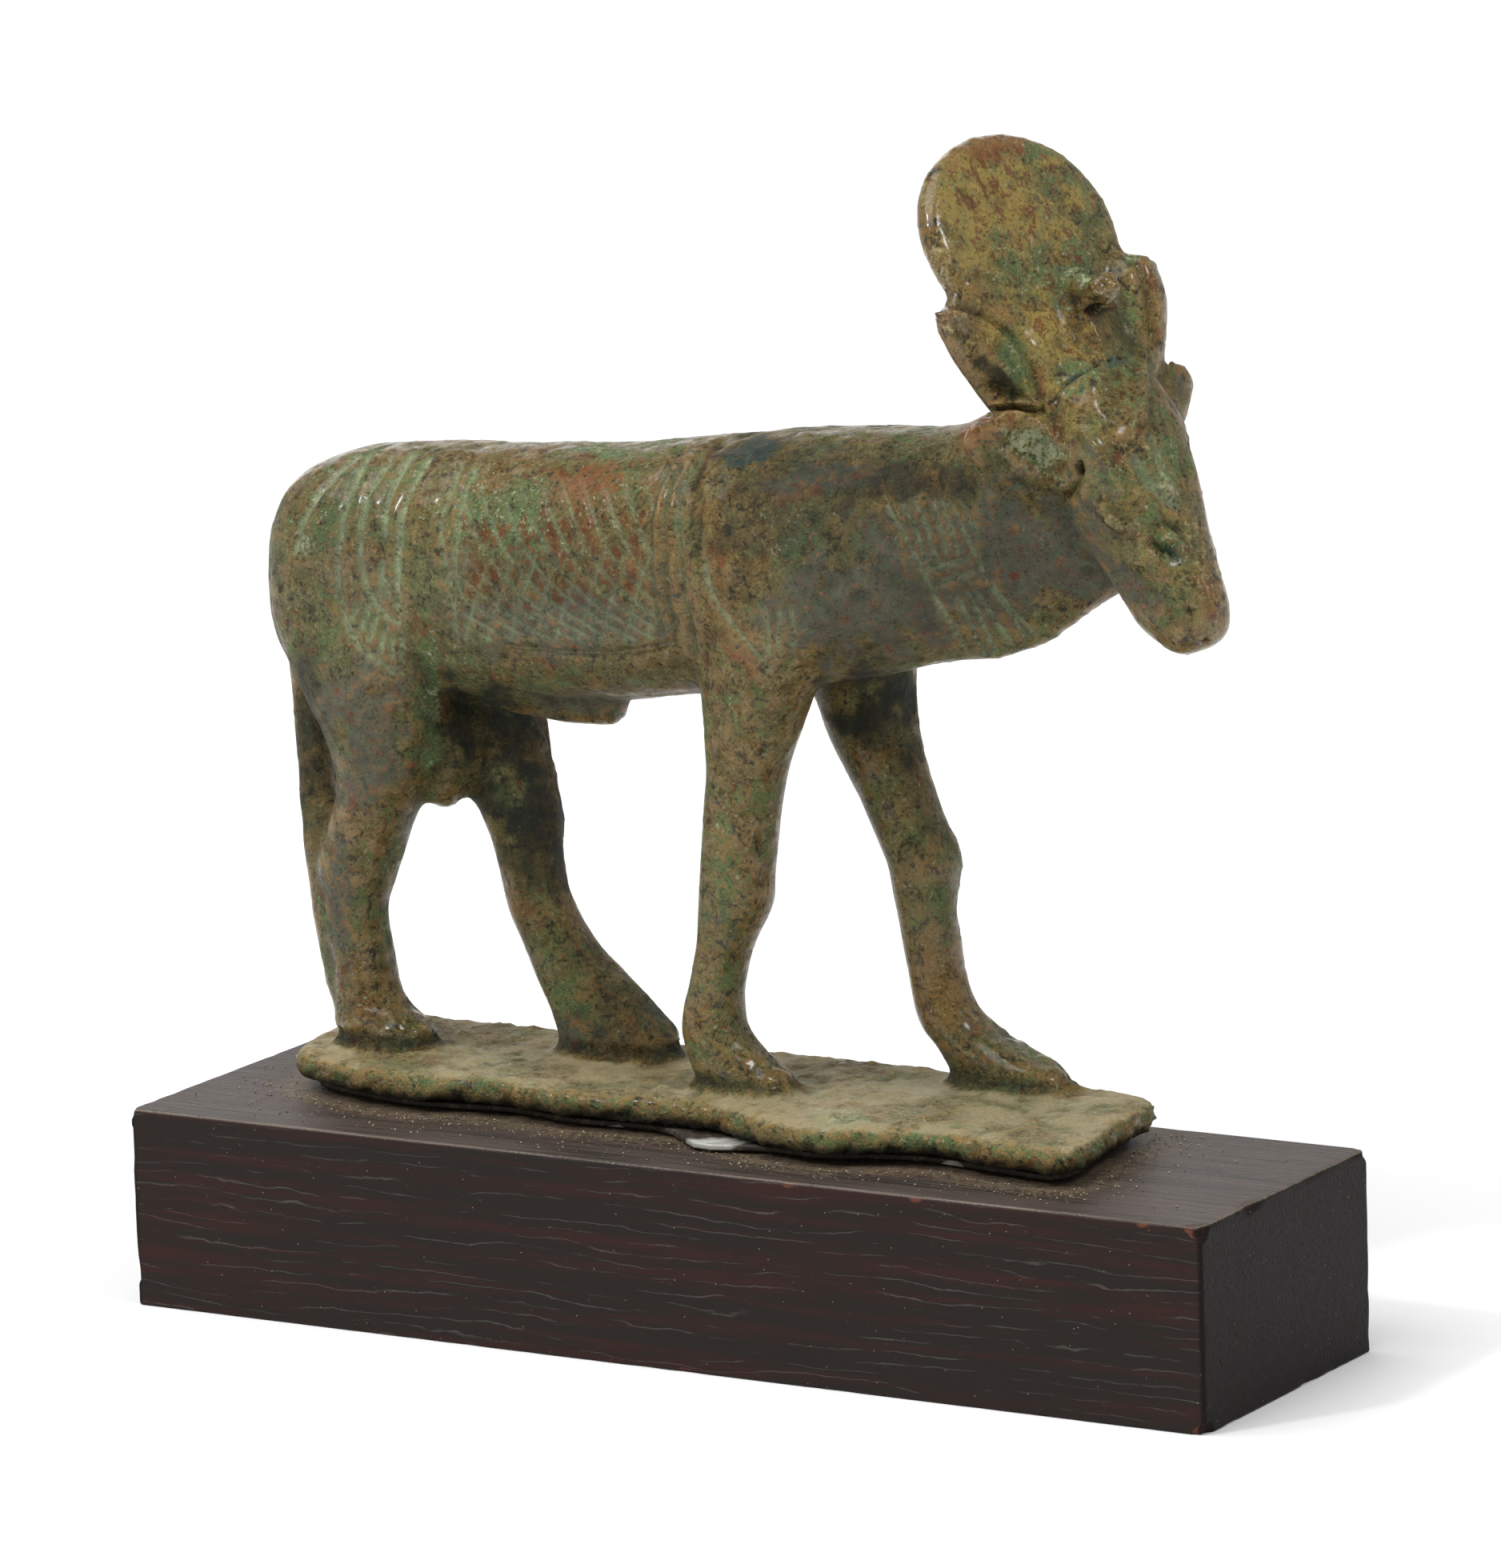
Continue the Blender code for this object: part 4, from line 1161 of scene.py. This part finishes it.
def wood_finish():
    """Near-black stained hardwood: red-brown streaks, open pores, worn edges and dust, with painted sheen on
    the top, a painted highlight along the top edges and painted shade on the ends.
    """
    f = Finish("stained_hardwood")
    f.add_clouds(WOOD_CLOUDS)
    f.values["speckle"] = f.cells(1.1 * MM)
    axes = f.node("ShaderNodeSeparateXYZ", {0: f.place}).outputs
    along_rows = [(axes[name], 1 / PORE_SPACING) for name in ("Y", "Z")]
    rows = f.total(*along_rows, (f.values["sway"], 6.0), (f.values["ripple"], 0.9))
    line = f.step(f.math("PINGPONG", rows, 1.0), 0.17, 0.04)
    f.values["pore"] = f.math("MULTIPLY", line, f.step(f.values["gate"], 0.46, 0.62))
    f.set("Base Color", f.lay(EBONY, WOOD_LAYERS))

    rough = f.sum_of({"fibre": 0.3, "dust": 0.072, "fine": 0.15, "speck": 0.15, "bare": 0.2})
    f.set("Roughness", f.mean(f.step(rough, 0.0, 0.6), *WOOD_ROUGHNESS))
    f.set("Specular IOR Level", 0.1)
    f.bump(f.sum_of({"fibre": 0.5, "pore": -0.5, "streak": 0.4, "fine": 0.12}), WOOD_BUMP)
    return f.material


def adhesive_finish():
    """Clear glue, dark with the painted shadow of the gap it sits in, patched with dust, and milky where it
    squeezed out.
    """
    f = Finish("old_adhesive")
    cloud = f.noise(1.2 * MM, 4, 0.6)
    fine = f.noise(0.35 * MM, 3, 0.6)
    tone = f.blend(f.step(f.total((cloud, 0.5), (fine, 0.5)), 0.5, 0.6, 0.5), GLUE_AND_GAP_SHADE, DUST)
    clear = f.step(f.total((f.stored("milky"), 0.7), (cloud, 0.3)), 0.4, 0.7)
    tone = f.blend(clear, tone, GLUE_MILKY)
    f.set("Base Color", tone)
    f.set("Roughness", f.mean(clear, 0.6, 0.22))
    f.set("Transmission Weight", f.math("MULTIPLY", clear, 0.3))
    f.bump(f.total((cloud, 1.0), (fine, 0.5)), 0.1 * MM)
    return f.material


def crumb_finish():
    f = Finish("dust_and_crumbs")
    tone = f.blend(f.step(f.noise(1.3 * MM, 2), 0.42, 0.58), DUST, CRUMB_PALE)
    f.set("Base Color", tone)
    f.set("Roughness", f.mean(f.noise(0.5 * MM, 2), 0.6, 0.9))
    return f.material


def add_stage():
    floor_mesh = bpy.data.meshes.new("floor")
    half = FLOOR_HALF
    corners = [(-half, -half, 0), (half, -half, 0), (half, half, 0), (-half, half, 0)]
    floor_mesh.from_pydata(corners, [], [(0, 1, 2, 3)])
    material = bpy.data.materials.new("pale_floor")
    material.use_nodes = True
    shader = material.node_tree.nodes["Principled BSDF"]
    shader.inputs["Base Color"].default_value = FLOOR_COLOUR
    shader.inputs["Roughness"].default_value = 0.9
    floor_mesh.materials.append(material)
    floor = bpy.data.objects.new("floor", floor_mesh)
    add_to_scene(floor)

    world = bpy.data.worlds.new("studio")
    world.use_nodes = True
    background = world.node_tree.nodes["Background"]
    background.inputs["Color"].default_value = (1, 1, 1, 1)
    background.inputs["Strength"].default_value = SKY_STRENGTH
    bpy.context.scene.world = world
    bpy.context.scene.view_settings.view_transform = "Standard"


def add_light(name, kind, place, strength, settings):
    data = bpy.data.lights.new(name, kind)
    data.energy = strength
    for key, value in settings.items():
        setattr(data, key, value)
    light = bpy.data.objects.new(name, data)
    light.visible_camera = False
    light.location = place
    light.rotation_euler = (LIGHT_TARGET - Vector(place)).to_track_quat("-Z", "Y").to_euler()
    add_to_scene(light)


add_camera()
add_stage()
for light_name, light in LIGHTS.items():
    add_light(light_name, *light)
bull = build_bull()
build_block(bull)
build_adhesive()
build_crumbs(bull)
